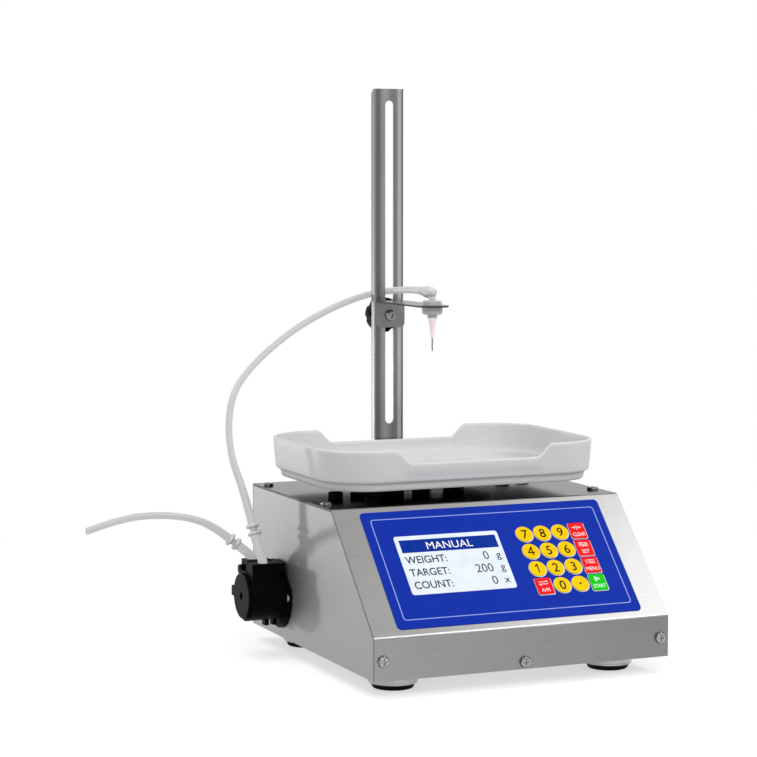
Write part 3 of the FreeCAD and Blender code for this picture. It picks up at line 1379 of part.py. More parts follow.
def build_power_inlet():
    """Mains inlet of the three-pin appliance kind, flanged on the rear panel."""
    flange = box("inlet_flange_plate", ("inlet_x - inlet_width / 2 - 5", COLUMN_FACE,
                                        "inlet_z - inlet_height / 2 - 3"),
                 ("inlet_width + 10", "inlet_flange", "inlet_height + 6"))
    shell = box("inlet_shell", ("inlet_x - inlet_width / 2 + 0.2", "%s - inlet_depth" % COLUMN_FACE,
                                "inlet_z - inlet_height / 2 + 0.2"),
                ("inlet_width - 0.4", "inlet_depth + 1", "inlet_height - 0.4"))
    mouth = box("inlet_mouth", ("inlet_x - inlet_width / 2 + inlet_wall", "%s - inlet_depth + 2" % COLUMN_FACE,
                                "inlet_z - inlet_height / 2 + inlet_wall"),
                ("inlet_width - 2 * inlet_wall", "inlet_depth + inlet_flange + 2",
                 "inlet_height - 2 * inlet_wall"))
    body = cut("inlet_body", fuse("inlet_blank", [flange, shell]), [mouth])
    pins = []
    for i, (dx, dz) in enumerate(((-7, -2), (7, -2), (0, 3))):
        pins.append(box("inlet_pin_%d" % i, ("inlet_x + %d - 1" % dx, "%s - inlet_depth + 1" % COLUMN_FACE,
                                             "inlet_z + %d - 2" % dz), ("2", "inlet_depth - 2", "4")))
    frame_block = box("rocker_frame", ("inlet_x - rocker_width / 2 - 3", COLUMN_FACE,
                                       "rocker_z - rocker_height / 2 - 3"),
                      ("rocker_width + 6", "1.5", "rocker_height + 6"))
    return fuse("inlet_whole", [body] + pins), frame_block


def build_rocker_frame(frame_plate):
    """Switch body behind the panel with its bezel, open for the rocker."""
    case = box("rocker_case", ("inlet_x - rocker_width / 2 - 0.8", "%s - 18" % COLUMN_FACE,
                               "rocker_z - rocker_height / 2 - 0.8"),
               ("rocker_width + 1.6", "18.5", "rocker_height + 1.6"))
    mouth = box("rocker_mouth", ("inlet_x - rocker_width / 2 + 0.6", "%s - 10" % COLUMN_FACE,
                                 "rocker_z - rocker_height / 2 + 0.6"),
                ("rocker_width - 1.2", "20", "rocker_height - 1.2"))
    return cut("rocker_frame_whole", fuse("rocker_frame_blank", [case, frame_plate]), [mouth])


def build_power_rocker():
    """Rocker tilted to its off side about a pivot along Z."""
    half = "(rocker_width / 2 - 1.4)"
    pivot_y = "(%s - 2)" % COLUMN_FACE
    height = "(rocker_height - 2.4)"
    left = box("rocker_left", ("-" + half, "-1", "-%s / 2" % height), (half, "6", height))
    right = box("rocker_right", ("0", "-1", "-%s / 2" % height), (half, "6", height))
    hollow = cylinder("rocker_relief", ("0", "15.6", "-" + height), "Z", "11", "2 * " + height)
    core = cylinder("rocker_core", ("0", "0", "-%s / 2" % height), "Z", "3", height)
    rocker = fuse("rocker_whole", [cut("rocker_dished", fuse("rocker_blank", [left, right]), [hollow]), core])
    rocker.Placement = Placement(Vector(), Rotation(ALONG_Z, 10))
    place(rocker, ("inlet_x", pivot_y, "rocker_z"))
    rocker.setExpression("Placement.Rotation.Angle", bound("rocker_tilt * 1 deg"))
    return rocker


def build_pedal_socket():
    """Round locking socket for the foot switch, with its nut inside the panel."""
    barrel = cylinder("pedal_barrel", ("pedal_x", "%s - 12" % REAR, "pedal_z"), "Y", "pedal_radius",
                      "12 + rear_sheet + pedal_proud")
    flange = cylinder("pedal_flange", ("pedal_x", COLUMN_FACE, "pedal_z"), "Y", "pedal_radius + 2", "2")
    backing = hexagon("pedal_nut", ("pedal_x", "%s - 3.5" % REAR, "pedal_z"), "Y", "pedal_radius + 3", "3.5")
    bore = cylinder("pedal_bore_cut", ("pedal_x", "%s + pedal_proud - 8" % COLUMN_FACE, "pedal_z"), "Y",
                    "pedal_bore", "10")
    return cut("pedal_whole", fuse("pedal_blank", [barrel, flange, backing]), [bore])


node(build_base_tray(), "base_tray")
node(build_console_cover(), "console_cover")
node(build_side_panel(-1, "left_panel"), "left_side_panel")
node(build_side_panel(1, "right_panel"), "right_side_panel")
node(build_rear_panel(), "rear_panel")
node(build_case_screws(), "case_screws")
cup_set, pad_set = build_feet()
node(cup_set, "foot_cups")
node(pad_set, "foot_pads")
node(build_column(), "column")
node(build_column_bolts(), "column_bolts")
node(build_arm(), "nozzle_arm")
node(build_clamp_bolt(), "clamp_bolt")
node(build_clamp_washer(), "clamp_washer")
node(build_clamp_knob(), "clamp_knob")
node(build_holder_nut(), "holder_nut")
node(build_luer_holder(), "luer_holder")
node(build_elbow(), "elbow_fitting")
node(build_needle_hub(), "needle_hub")
node(build_needle_tube(), "needle_tube")
node(solid("delivery_whole", tube_shape("delivery_tube", delivery_points(), size("tube_radius"))),
     "delivery_tube")
node(build_suction_tube(), "suction_tube")
node(group("coupler_set", [solid("delivery_coupler", coupler(DELIVERY_COUPLER, DELIVERY_WAY)),
                           solid("suction_coupler", coupler(SUCTION_COUPLER, SUCTION_WAY))]),
     "tube_couplers")
node(build_pump_tube(), "pump_tube")
node(build_pump_housing(), "pump_housing")
node(build_pump_cover(), "pump_cover")
node(build_rotor(), "pump_rotor")
for number in range(int(size("roller_count"))):
    node(build_roller(number), "pump_roller_%d" % (number + 1))
node(build_pump_motor(), "pump_motor")
node(build_pump_screws(), "pump_screws")
node(build_load_cell(), "load_cell")
node(build_load_cell_blocks(), "load_cell_blocks")
node(build_pan_carrier(), "pan_carrier")
node(group("rubber_set", [build_pan_cushions(), build_overload_stops()]), "pan_cushions")
node(build_weighing_pan(), "weighing_pan")
node(build_overlay(), "membrane_overlay")
node(build_window(), "display_window")
node(build_display(), "display_module")
node(build_console_board(), "console_board")
for number in range(len(KEY_NAMES)):
    node(build_key(number), KEY_NAMES[number])
node(build_power_supply(), "power_supply")
inlet, rocker_plate = build_power_inlet()
node(group("inlet_set", [inlet, build_rocker_frame(rocker_plate)]), "power_inlet")
node(build_power_rocker(), "power_rocker")
node(build_pedal_socket(), "pedal_socket")

doc.recompute()
for item in doc.Objects:
    if "Invalid" in item.State or "Error" in item.State:
        raise RuntimeError("%s did not build: %s" % (item.Label, item.State))
for name, item in nodes.items():
    if item.Shape.isNull() or not item.Shape.isValid() or not item.Shape.Solids:
        raise RuntimeError("%s has no valid solid" % name)

os.makedirs("parts", exist_ok=True)
for name, item in nodes.items():
    item.Shape.exportStep("parts/%s.step" % name)
print("%d nodes written" % len(nodes))
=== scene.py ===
"""Liquid filling machine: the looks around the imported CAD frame."""

import json
import math

import bmesh
import bpy
from mathutils import Matrix, Vector


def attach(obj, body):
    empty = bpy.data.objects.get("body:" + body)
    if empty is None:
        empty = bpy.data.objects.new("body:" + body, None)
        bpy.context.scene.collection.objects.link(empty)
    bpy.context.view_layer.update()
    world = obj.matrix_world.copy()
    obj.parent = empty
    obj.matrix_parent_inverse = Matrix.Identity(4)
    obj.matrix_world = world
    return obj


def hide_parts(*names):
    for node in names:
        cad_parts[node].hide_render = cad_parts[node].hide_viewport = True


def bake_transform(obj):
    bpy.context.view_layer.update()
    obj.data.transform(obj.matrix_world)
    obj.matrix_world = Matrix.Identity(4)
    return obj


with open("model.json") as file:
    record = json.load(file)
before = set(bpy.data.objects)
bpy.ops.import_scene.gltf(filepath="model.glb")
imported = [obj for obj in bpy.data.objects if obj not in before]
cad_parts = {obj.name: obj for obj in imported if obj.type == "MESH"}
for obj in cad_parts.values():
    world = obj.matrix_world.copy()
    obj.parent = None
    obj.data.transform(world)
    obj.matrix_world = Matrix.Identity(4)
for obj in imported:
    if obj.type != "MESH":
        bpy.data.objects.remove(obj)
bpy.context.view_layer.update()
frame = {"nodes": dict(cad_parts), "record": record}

scene = bpy.context.scene
scene.view_settings.view_transform = "Standard"

MM = 0.001
X_AND_Y = (0, 1)


# Camera, at the photograph's place and angle

CAMERA_PLACE = (-0.8304, -1.7667, 0.3977)
CAMERA_DOWN = 4.781
CAMERA_RIGHT = 23.319
CAMERA_LENS = 111.38
CAMERA_SENSOR = 36.0


def build_camera():
    lens = bpy.data.cameras.new("camera")
    lens.sensor_width = CAMERA_SENSOR
    lens.lens = CAMERA_LENS
    camera = bpy.data.objects.new("camera", lens)
    camera.location = CAMERA_PLACE
    camera.rotation_euler = (math.radians(90 - CAMERA_DOWN), 0.0, math.radians(-CAMERA_RIGHT))
    scene.collection.objects.link(camera)
    scene.camera = camera


build_camera()


# Materials

GRAIN_DETAIL = 4.0
PATCH_DETAIL = 3.0
PATCH_SHARE = 0.35
COLOUR_SPAN = (0.3, 0.7)
GLOSS_SPAN = (0.25, 0.75)
POLISH_RUN = 0.0003
POLISH = 0.35


def linear(code, alpha=1.0):
    """The linear colour of an sRGB hex code."""
    parts = [int(code[i:i + 2], 16) / 255 for i in (1, 3, 5)]
    parts = [p / 12.92 if p <= 0.04045 else ((p + 0.055) / 1.055) ** 2.4 for p in parts]
    return (*parts, alpha)


def add(tree, kind, settings=None, links=None):
    """Adds one node: settings by property or socket name, links by socket name."""
    made = tree.nodes.new(kind)
    for name, value in (settings or {}).items():
        if isinstance(name, str) and hasattr(made, name):
            setattr(made, name, value)
        else:
            made.inputs[name].default_value = value
    for name, source in (links or {}).items():
        tree.links.new(source, made.inputs[name])
    return made


def banded(tree, tint, place, bands):
    """The tint, darker or brighter at places along one axis: painted reflection bands."""
    axis, stops = bands
    first, last = stops[0][0], stops[-1][0]
    along = add(tree, "ShaderNodeSeparateXYZ", None, {"Vector": place}).outputs[axis]
    share = add(tree, "ShaderNodeMapRange", {"From Min": first, "From Max": last}, {"Value": along})
    band = add(tree, "ShaderNodeValToRGB", None, {"Fac": share.outputs["Result"]})
    band.color_ramp.interpolation = "EASE"
    while len(band.color_ramp.elements) < len(stops):
        band.color_ramp.elements.new(0.5)
    for element, (spot, level) in zip(band.color_ramp.elements, stops):
        element.position = (spot - first) / (last - first)
        element.color = (level, level, level, 1.0)
    return add(tree, "ShaderNodeVectorMath", {"operation": "MULTIPLY"},
               {0: tint, 1: band.outputs["Color"]}).outputs["Vector"]


def polished(tree, gloss, place, above):
    """The roughness, much lower above a height, where the sheet keeps its mill polish."""
    height = add(tree, "ShaderNodeSeparateXYZ", None, {"Vector": place}).outputs["Z"]
    level = add(tree, "ShaderNodeMapRange", {"From Min": above, "From Max": above + POLISH_RUN,
                                             "To Min": 1.0, "To Max": POLISH}, {"Value": height})
    return add(tree, "ShaderNodeMath", {"operation": "MULTIPLY"},
               {0: gloss, 1: level.outputs["Result"]}).outputs[0]


def finish(name, dark, light, grain, rough, relief, stretch=(1, 1, 1), patch=0.03, long=(1, 1, 1),
           polished_above=None, bands=None, **sockets):
    """A material whose colour, roughness and relief follow one grain.

    grain is the width in metres of one spot or streak, stretch how many times longer it is on each axis,
    rough the least and the most roughness, relief the grain's height in metres, patch the size of the
    soft patches where handling changed the gloss, and long their own stretch. Above polished_above the
    surface keeps its mill polish. bands holds an axis and the brightness at places along it: painted
    reflection, laid on as the bands in which a rolled sheet mirrors its surroundings.
    """
    material = bpy.data.materials.new(name)
    material.use_nodes = True
    tree = material.node_tree
    tree.nodes.clear()
    place = add(tree, "ShaderNodeTexCoord").outputs["Object"]
    laid = add(tree, "ShaderNodeMapping", {"Scale": [1 / (grain * s) for s in stretch]}, {"Vector": place})
    fine = add(tree, "ShaderNodeTexNoise", {"Scale": 1.0, "Detail": GRAIN_DETAIL, "Roughness": 0.6},
               {"Vector": laid.outputs["Vector"]}).outputs["Fac"]
    spread = add(tree, "ShaderNodeMapping", {"Scale": [1 / (patch * s) for s in long]}, {"Vector": place})
    broad = add(tree, "ShaderNodeTexNoise", {"Scale": 1.0, "Detail": PATCH_DETAIL, "Roughness": 0.5},
                {"Vector": spread.outputs["Vector"]}).outputs["Fac"]
    both = add(tree, "ShaderNodeMath", {"operation": "MULTIPLY_ADD", 1: PATCH_SHARE, 2: -PATCH_SHARE / 2},
               {0: broad})
    mixed = add(tree, "ShaderNodeMath", {"operation": "ADD", "use_clamp": True},
                {0: both.outputs[0], 1: fine})
    colour = add(tree, "ShaderNodeValToRGB", None, {"Fac": mixed.outputs[0]})
    for element, spot, code in zip(colour.color_ramp.elements, COLOUR_SPAN, (dark, light)):
        element.position = spot
        element.color = linear(code)
    tint = colour.outputs["Color"]
    if bands:
        tint = banded(tree, tint, place, bands)
    gloss = add(tree, "ShaderNodeMapRange", {"From Min": GLOSS_SPAN[0], "From Max": GLOSS_SPAN[1],
                                             "To Min": rough[0], "To Max": rough[1]},
                {"Value": mixed.outputs[0]}).outputs["Result"]
    if polished_above:
        gloss = polished(tree, gloss, place, polished_above)
    bump = add(tree, "ShaderNodeBump", {"Strength": 1.0, "Distance": relief}, {"Height": fine})
    shader = add(tree, "ShaderNodeBsdfPrincipled", sockets,
                 {"Base Color": tint, "Roughness": gloss, "Normal": bump.outputs["Normal"]})
    add(tree, "ShaderNodeOutputMaterial", None, {"Surface": shader.outputs["BSDF"]})
    return material


# Stainless sheet, brushed along its length by a belt: long fine scratches that smear what it mirrors.
# A real scratch is about 0.1 mm wide; on all brushed pieces they are drawn at 0.4 mm so that they show.
# At a grazing angle a brushed sheet mirrors less than a polished one. The deck kept its mill polish.
EDGE_DIM = {"Specular Tint": (0.55, 0.55, 0.55, 1.0)}
DECK_HEIGHT = 0.1364
console_steel = finish("brushed_stainless_sheet", "#8E8E8D", "#9A9A99", 0.0004, (0.27, 0.36), 0.000004,
                       (120, 1, 1), 0.06, polished_above=DECK_HEIGHT, Metallic=1.0, **EDGE_DIM)
# The front strip's tint carries a painted darker reflection of the studio, more so towards its right end,
# and the bend above it is a brighter copy of the sheet: a painted highlight line.
strip_steel_painted_reflection = finish("brushed_stainless_strip_painted_reflection", "#8E8E8D", "#9A9A99", 0.0004, (0.27, 0.36), 0.000004,
                     (120, 1, 1), 0.06, Metallic=1.0, **EDGE_DIM,
                     bands=("X", [(-0.13, 1.0), (-0.06, 0.95), (0.03, 0.85), (0.09, 0.78), (0.13, 0.76)]))
bend_steel_painted_highlight = finish("stainless_bend_painted_highlight", "#B8B8B7", "#C2C2C1", 0.0004, (0.3, 0.4), 0.000003,
                    (120, 1, 1), 0.06, Metallic=1.0)
# The side panels are the same sheet with a finer, duller satin finish, brushed front to back.
side_steel = finish("satin_stainless_side", "#8A8A8A", "#969695", 0.0004, (0.46, 0.56), 0.000003,
                    (1, 120, 1), 0.08, Metallic=1.0)
# The rear panel, base tray and motor can: mill finished sheet, with short soft rolling marks.
panel_steel = finish("mill_finished_steel", "#8A8A89", "#989897", 0.0006, (0.34, 0.46), 0.000006,
                     (40, 1, 1), 0.05, Metallic=1.0)
# The column is brushed up and down its length; its broad light and dark bands are painted reflection.
column_steel_painted_bands = finish("brushed_stainless_column_painted_bands", "#A8A8A7", "#B4B4B3", 0.0004, (0.3, 0.4), 0.000003,
                      (1, 1, 120), 0.03, (1, 1, 60), Metallic=1.0,
                      bands=("X", [(-0.014, 0.36), (-0.0105, 0.36), (-0.007, 0.72), (-0.0045, 0.85),
                                   (0.004, 0.5), (0.007, 0.58), (0.0086, 1.2), (0.0107, 1.15),
                                   (0.012, 0.36), (0.014, 0.28)]))
# The flanges are a darker copy of the column's sheet, painted shade that tones down the rear lamp's
# highlight, with painted reflection bands across them.
flange_steel_painted_shade = finish("brushed_stainless_flange_painted_shade", "#8E8E8D", "#9A9A99", 0.0004, (0.34, 0.44), 0.000003,
                      (1, 1, 120), 0.03, (1, 1, 60), Metallic=1.0,
                      bands=("Y", [(0.135, 0.85), (0.139, 1.0), (0.141, 0.9), (0.1424, 0.55),
                                   (0.1436, 0.5)]))
# The folded arm is a darker hot rolled sheet, satin brushed, and its laser cut edge is scorched dull.
arm_steel = finish("satin_folded_sheet", "#7E7E7E", "#8C8C8C", 0.0004, (0.28, 0.38), 0.000004,
                   (60, 1, 60), 0.03, Metallic=1.0)
# The same dark edge colour also lies on the console cover's cut ends, as painted seam shade.
cut_edge_and_seam_shade = finish("laser_cut_edge_and_seam_shade", "#383838", "#4A4A4A", 0.0004, (0.42, 0.54), 0.000008, Metallic=1.0)
# Screws and bolts: nickel plated steel, cold headed, nearly mirror bright. Their round rims get a darker
# copy, a painted reflection of the dark things at bench height.
bright_steel = finish("nickel_plated_steel", "#767674", "#B2B2B0", 0.0015, (0.14, 0.24), 0.000003,
                      Metallic=1.0)
rim_steel_painted_reflection = finish("nickel_plated_rim_painted_reflection", "#2E2E2D", "#484847", 0.0015, (0.16, 0.26), 0.000003, Metallic=1.0)
# Feet: turned and polished cups, with fine rings from the lathe.
turned_steel = finish("turned_steel", "#969694", "#CACAC8", 0.0004, (0.16, 0.28), 0.000006,
                      (60, 60, 1), Metallic=1.0)
# The needle is drawn stainless tube, with draw marks along it.
needle_steel = finish("drawn_stainless_tube", "#858583", "#A0A09E", 0.0002, (0.2, 0.32), 0.000002,
                      (1, 1, 60), Metallic=1.0)
# Rubber pads and stops: moulded nitrile rubber, dull and slightly dusty. The spots of this and of the
# other moulded surfaces are 0.1 to 0.3 mm in life and are drawn two or three times as wide to show.
RUBBER = {"IOR": 1.52, "Specular IOR Level": 0.06}
black_rubber = finish("moulded_rubber", "#0C0C0C", "#181818", 0.0006, (0.62, 0.8), 0.00002, **RUBBER)
# Knob: moulded phenolic with a fine spark eroded texture.
DARK = {"IOR": 1.5, "Specular IOR Level": 0.02}
knob_plastic = finish("textured_phenolic", "#0C0C0C", "#181818", 0.0007, (0.3, 0.42), 0.000012, **DARK)
# Pump housing: moulded glass filled nylon, with a fine matt grain.
pump_plastic = finish("glass_filled_nylon", "#070707", "#0F0F0F", 0.0005, (0.32, 0.44), 0.000012, **DARK)
# Pump cover: smoke grey polycarbonate, smoother than the housing.
cover_plastic = finish("smooth_polycarbonate", "#070707", "#0B0B0B", 0.0008, (0.3, 0.4), 0.000004, **DARK)
# Rotor and rollers: acetal, slightly waxy.
rotor_plastic = finish("machined_acetal", "#D2D2CC", "#DEDED8", 0.0004, (0.36, 0.46), 0.000006, IOR=1.48)
roller_plastic = finish("turned_acetal", "#E4E4E0", "#ECECE8", 0.0003, (0.3, 0.4), 0.000004, IOR=1.48)
# Nozzle block, nut and tube fittings: natural polypropylene, milky: light spreads a little inside it.
MILKY = {"Subsurface Weight": 0.5, "Subsurface Radius": (1.0, 1.0, 1.0), "Subsurface Scale": 0.003}
milky_plastic = finish("natural_polypropylene", "#B2B4B4", "#BEC0C0", 0.003, (0.32, 0.42), 0.000002,
                       IOR=1.49, **MILKY)
fitting_plastic = finish("moulded_polypropylene", "#CBCDCD", "#D5D7D7", 0.003, (0.32, 0.42), 0.000002,
                         IOR=1.49, **MILKY)
# Needle hub: lightly tinted polypropylene; its glow is painted light, standing for the light that comes
# through its wall.
hub_plastic = finish("tinted_polypropylene", "#EED4DF", "#F4E2EA", 0.002, (0.3, 0.4), 0.000002, IOR=1.49,
                     **MILKY, **{"Emission Color": linear("#FFE6F0"), "Emission Strength": 0.16})
# Tubes: extruded silicone, milky, smooth, with a faint haze along it. The glow is painted light: it
# stands for light from behind that comes through the thin wall, and it evens out the tube's shading.
silicone = finish("extruded_silicone", "#848584", "#8A8B8A", 0.004, (0.28, 0.36), 0.0000005, IOR=1.41,
                  **{"Emission Color": linear("#FFFFFF"), "Emission Strength": 0.33})
# Tray: vacuum formed ABS, off-white with a faint leather grain.
tray_plastic = finish("moulded_abs", "#CFD0CF", "#D6D7D6", 0.0011, (0.4, 0.5), 0.000008, IOR=1.54)
# The tray's carrier: machined nylon plate, black and matt.
carrier_plastic = finish("black_nylon_plate", "#0A0A0A", "#151515", 0.0007, (0.38, 0.5), 0.000012, **DARK)
# Overlay and keys: polyester film printed from behind, with a fine velvet texture that scatters gloss.
FILM = {"IOR": 1.5, "Specular IOR Level": 0.04}
blue_film = finish("velvet_polyester_blue", "#0E2C9C", "#1334A8", 0.0005, (0.42, 0.54), 0.000004, **FILM)
yellow_film = finish("velvet_polyester_yellow", "#F4C400", "#FCCE00", 0.0006, (0.4, 0.5), 0.000004, **FILM)
red_film = finish("velvet_polyester_red", "#EE1418", "#F81C20", 0.0006, (0.4, 0.5), 0.000004, **FILM)
green_film = finish("velvet_polyester_green", "#0CC010", "#18CE1C", 0.0006, (0.4, 0.5), 0.000004, **FILM)
# Display: pale lit glass behind a clear film, with its figures in a liquid crystal's blue grey.
window_film = finish("lit_display_film", "#DCE6F0", "#E8F0F8", 0.012, (0.14, 0.2), 0.0000005, **FILM)
header_ink = finish("display_header", "#062A84", "#0C349E", 0.0008, (0.2, 0.3), 0.000001, (1, 60, 60),
                    **FILM)
display_ink = finish("display_marks", "#222C40", "#36425A", 0.0006, (0.2, 0.3), 0.000001, **FILM)
# Screen printed inks, a thin matt layer that lies on the film.
white_ink = finish("white_screen_print", "#EEF0F4", "#F8FAFC", 0.0006, (0.4, 0.5), 0.000002, **FILM)
border_ink = finish("pale_screen_print", "#93A6E0", "#AABCEC", 0.0006, (0.4, 0.5), 0.000002, **FILM)
black_ink = finish("black_screen_print", "#161204", "#221C08", 0.0006, (0.4, 0.5), 0.000002, **FILM)
# Inside and behind the case: display glass, solder mask, milled aluminium with its cutter marks, zinc
# plated sheet with its soft spangle, and moulded nylon.
display_glass = finish("display_glass", "#8A949C", "#A0AAB2", 0.01, (0.05, 0.1), 0.0000005, IOR=1.52)
circuit_board = finish("green_solder_mask", "#0E4A22", "#17602F", 0.0012, (0.3, 0.45), 0.00003, IOR=1.55)
cell_aluminium = finish("milled_aluminium", "#A8AAAC", "#BCBEC0", 0.0004, (0.28, 0.4), 0.000006,
                        (1, 40, 1), Metallic=1.0)
supply_metal = finish("zinc_plated_steel", "#9C9FA2", "#B2B5B8", 0.004, (0.3, 0.45), 0.000006, Metallic=1.0)
black_fitting = finish("moulded_nylon_black", "#0C0C0C", "#181818", 0.0006, (0.34, 0.46), 0.00001, **DARK)
rocker_red = finish("moulded_nylon_red", "#B01014", "#C41C20", 0.0006, (0.24, 0.34), 0.000006, IOR=1.53)


# Shaping helpers

WELD = 1e-6
ON_PLANE = 1e-7
FLAT_WITHIN = 0.4
CREASE = 35.0
ROUND_ABOVE = 30.0
LATHE_STEPS = 40


def everything(shape):
    return shape.verts[:] + shape.edges[:] + shape.faces[:]


def piece(name, shape, surface, body, crease=CREASE):
    """Turns a finished bmesh into a piece that rides on a body, or on none when no body is given."""
    mesh = bpy.data.meshes.new(name)
    shape.to_mesh(mesh)
    shape.free()
    mesh.materials.append(surface)
    mesh.polygons.foreach_set("material_index", [0] * len(mesh.polygons))
    mesh.polygons.foreach_set("use_smooth", [True] * len(mesh.polygons))
    mesh.set_sharp_from_angle(angle=math.radians(crease))
    made = bpy.data.objects.new(name, mesh)
    scene.collection.objects.link(made)
    if body:
        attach(made, body)
    return made


def soften(made, width):
    """Rounds every sharp edge, as a real edge is, and keeps the broad faces flat."""
    bevel = made.modifiers.new("edges", "BEVEL")
    bevel.limit_method = "ANGLE"
    bevel.angle_limit = math.radians(ROUND_ABOVE)
    bevel.width = width
    bevel.segments = 2
    made.modifiers.new("flat_faces", "WEIGHTED_NORMAL").keep_sharp = True


def body_with(node):
    return next(name for name, nodes in frame["record"]["behaviour"]["bodies"].items() if node in nodes)


def dress(node, surface, edge, change=None):
    """The node's own shape as a merged mesh, with its real surface and edges rounded edge metres wide."""
    shape = bmesh.new()
    shape.from_mesh(frame["nodes"][node].data)
    bmesh.ops.remove_doubles(shape, verts=shape.verts, dist=WELD)
    bmesh.ops.dissolve_limit(shape, angle_limit=math.radians(FLAT_WITHIN), verts=shape.verts,
                             edges=shape.edges, use_dissolve_boundaries=False, delimit=set())
    if change:
        change(shape)
    made = piece(node + "_finished", shape, surface, body_with(node))
    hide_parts(node)
    soften(made, edge)
    return made


def merge(shape, new):
    """Adds one bmesh to another."""
    mesh = bpy.data.meshes.new("part")
    new.to_mesh(mesh)
    new.free()
    shape.from_mesh(mesh)
    bpy.data.meshes.remove(mesh)


def recolour(made, surface, chosen):
    """Gives the chosen faces of a piece another surface."""
    made.data.materials.append(surface)
    for face in made.data.polygons:
        if chosen(face):
            face.material_index = len(made.data.materials) - 1


def lathe(profile, centre, axis):
    """A turned shape from (distance along the axis, radius) pairs."""
    shape = bmesh.new()
    along = Vector(axis)
    side = along.orthogonal().normalized()
    chain = [shape.verts.new(Vector(centre) + along * place + side * radius) for place, radius in profile]
    edges = [shape.edges.new(pair) for pair in zip(chain, chain[1:])]
    bmesh.ops.spin(shape, geom=chain + edges, cent=centre, axis=along, angle=math.tau, steps=LATHE_STEPS,
                   use_merge=True)
    bmesh.ops.remove_doubles(shape, verts=shape.verts, dist=ON_PLANE)
    bmesh.ops.recalc_face_normals(shape, faces=shape.faces)
    return shape


def slice_off(shape, place, out, chosen):
    """Cuts the chosen faces off along a plane and closes the cut."""
    faces = [f for f in shape.faces if chosen(f)]
    geom = set(faces) | {e for f in faces for e in f.edges} | {v for f in faces for v in f.verts}
    bmesh.ops.bisect_plane(shape, geom=list(geom), plane_co=place, plane_no=out, clear_outer=True,
                           dist=ON_PLANE)
    bmesh.ops.holes_fill(shape, edges=[e for e in shape.edges if e.is_boundary])


# Tubes: silicone, on the routes of the CAD

DELIVERY_ROUTE = [
    (0.0, 0.064, 0.3052), (0.0, 0.084, 0.3052), (0.0004, 0.105, 0.3043), (0.0, 0.127, 0.3028),
    (-0.0016, 0.146, 0.3012), (-0.012, 0.1595, 0.2978), (-0.029, 0.165, 0.2916), (-0.051, 0.163, 0.2832),
    (-0.078, 0.1555, 0.2716), (-0.105, 0.145, 0.2567), (-0.131, 0.1325, 0.2397),
    (-0.154554, 0.114424, 0.220555), (-0.164054, 0.102424, 0.194555), (-0.165554, 0.091424, 0.166555),
    (-0.159211, 0.076327, 0.137674), (-0.155554, 0.066924, 0.111555)]
SUCTION_ROUTE = [
    (-0.16997, 0.084534, 0.098047), (-0.183787, 0.08666, 0.109385), (-0.20597, 0.083134, 0.118247),
    (-0.23397, 0.081334, 0.122247), (-0.26597, 0.079134, 0.121247), (-0.29697, 0.076734, 0.112447)]
TUBE_OUTSIDE = 0.006
TUBE_WALL = 0.001
# How much wider the tube is at a point of its route, where it's pushed over a barb
DELIVERY_SWELL = {0: 1.2, 14: 1.12, 15: 1.24}
SUCTION_SWELL = {0: 1.24, 1: 1.16}
# The suction tube's bare end was cut by hand, slightly aslant: place and way out
SUCTION_CUT = ((-0.2965, 0.0767, 0.1123), (-0.99, -0.07, -0.02))


def nurbs(name, points, swell):
    """The route as a smooth line, wider where it swells."""
    curve = bpy.data.curves.new(name, "CURVE")
    curve.dimensions = "3D"
    curve.resolution_u = 16
    spline = curve.splines.new("NURBS")
    spline.points.add(len(points) - 1)
    for index, (point, place) in enumerate(zip(spline.points, points)):
        point.co = (*place, 1.0)
        point.radius = swell.get(index, 1.0)
    spline.order_u = 3
    spline.use_endpoint_u = True
    return curve


def build_tube(name, points, swell, cut=None):
    """A hollow tube along a smooth line through the route; returns its mesh and the line's points."""
    curve = nurbs(name + "_line", points, swell)
    holder = bpy.data.objects.new(name + "_line", curve)
    scene.collection.objects.link(holder)
    bpy.context.view_layer.update()
    line = bpy.data.meshes.new_from_object(holder)
    path = [tuple(v.co) for v in line.vertices]
    curve.bevel_depth = TUBE_OUTSIDE / 2
    curve.bevel_resolution = 6
    bpy.context.view_layer.update()
    skin = bpy.data.meshes.new_from_object(holder)
    bpy.data.objects.remove(holder)
    shape = bmesh.new()
    shape.from_mesh(skin)
    bmesh.ops.remove_doubles(shape, verts=shape.verts, dist=WELD)
    bmesh.ops.recalc_face_normals(shape, faces=shape.faces)
    if cut:
        bmesh.ops.bisect_plane(shape, geom=everything(shape), plane_co=cut[0], plane_no=cut[1],
                               clear_outer=True, dist=ON_PLANE)
    bmesh.ops.solidify(shape, geom=shape.faces, thickness=TUBE_WALL)
    bmesh.ops.recalc_face_normals(shape, faces=shape.faces)
    return shape, path


def build_delivery_tube():
    shape, path = build_tube("delivery_tube_silicone", DELIVERY_ROUTE, DELIVERY_SWELL)
    tube = piece("delivery_tube_silicone", shape, silicone, None)
    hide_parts("delivery_tube")
    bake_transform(tube)


def build_suction_tube():
    shape, path = build_tube("suction_tube_silicone", SUCTION_ROUTE, SUCTION_SWELL, SUCTION_CUT)
    tube = piece("suction_tube_silicone", shape, silicone, "machine")
    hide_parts("suction_tube")


build_delivery_tube()
build_suction_tube()


# Case, feet and column: faces are told apart by the way they look and by where they lie

COVER_END = 0.1298
STRIP_WAY = -0.985
BEND_WAY = -0.74
BEND_LOW, BEND_HIGH = 0.045, 0.052
RIM_WAY = 0.8
COLUMN_SIDE = 0.01
ARM_FOOT = 0.271
ARM_PLATE = 0.2919
ARM_FRONT = 0.13


def cover_end(face):
    return abs(face.normal.x) > 0.9 and abs(face.center.x) > COVER_END


def cover_strip(face):
    return face.normal.y < STRIP_WAY


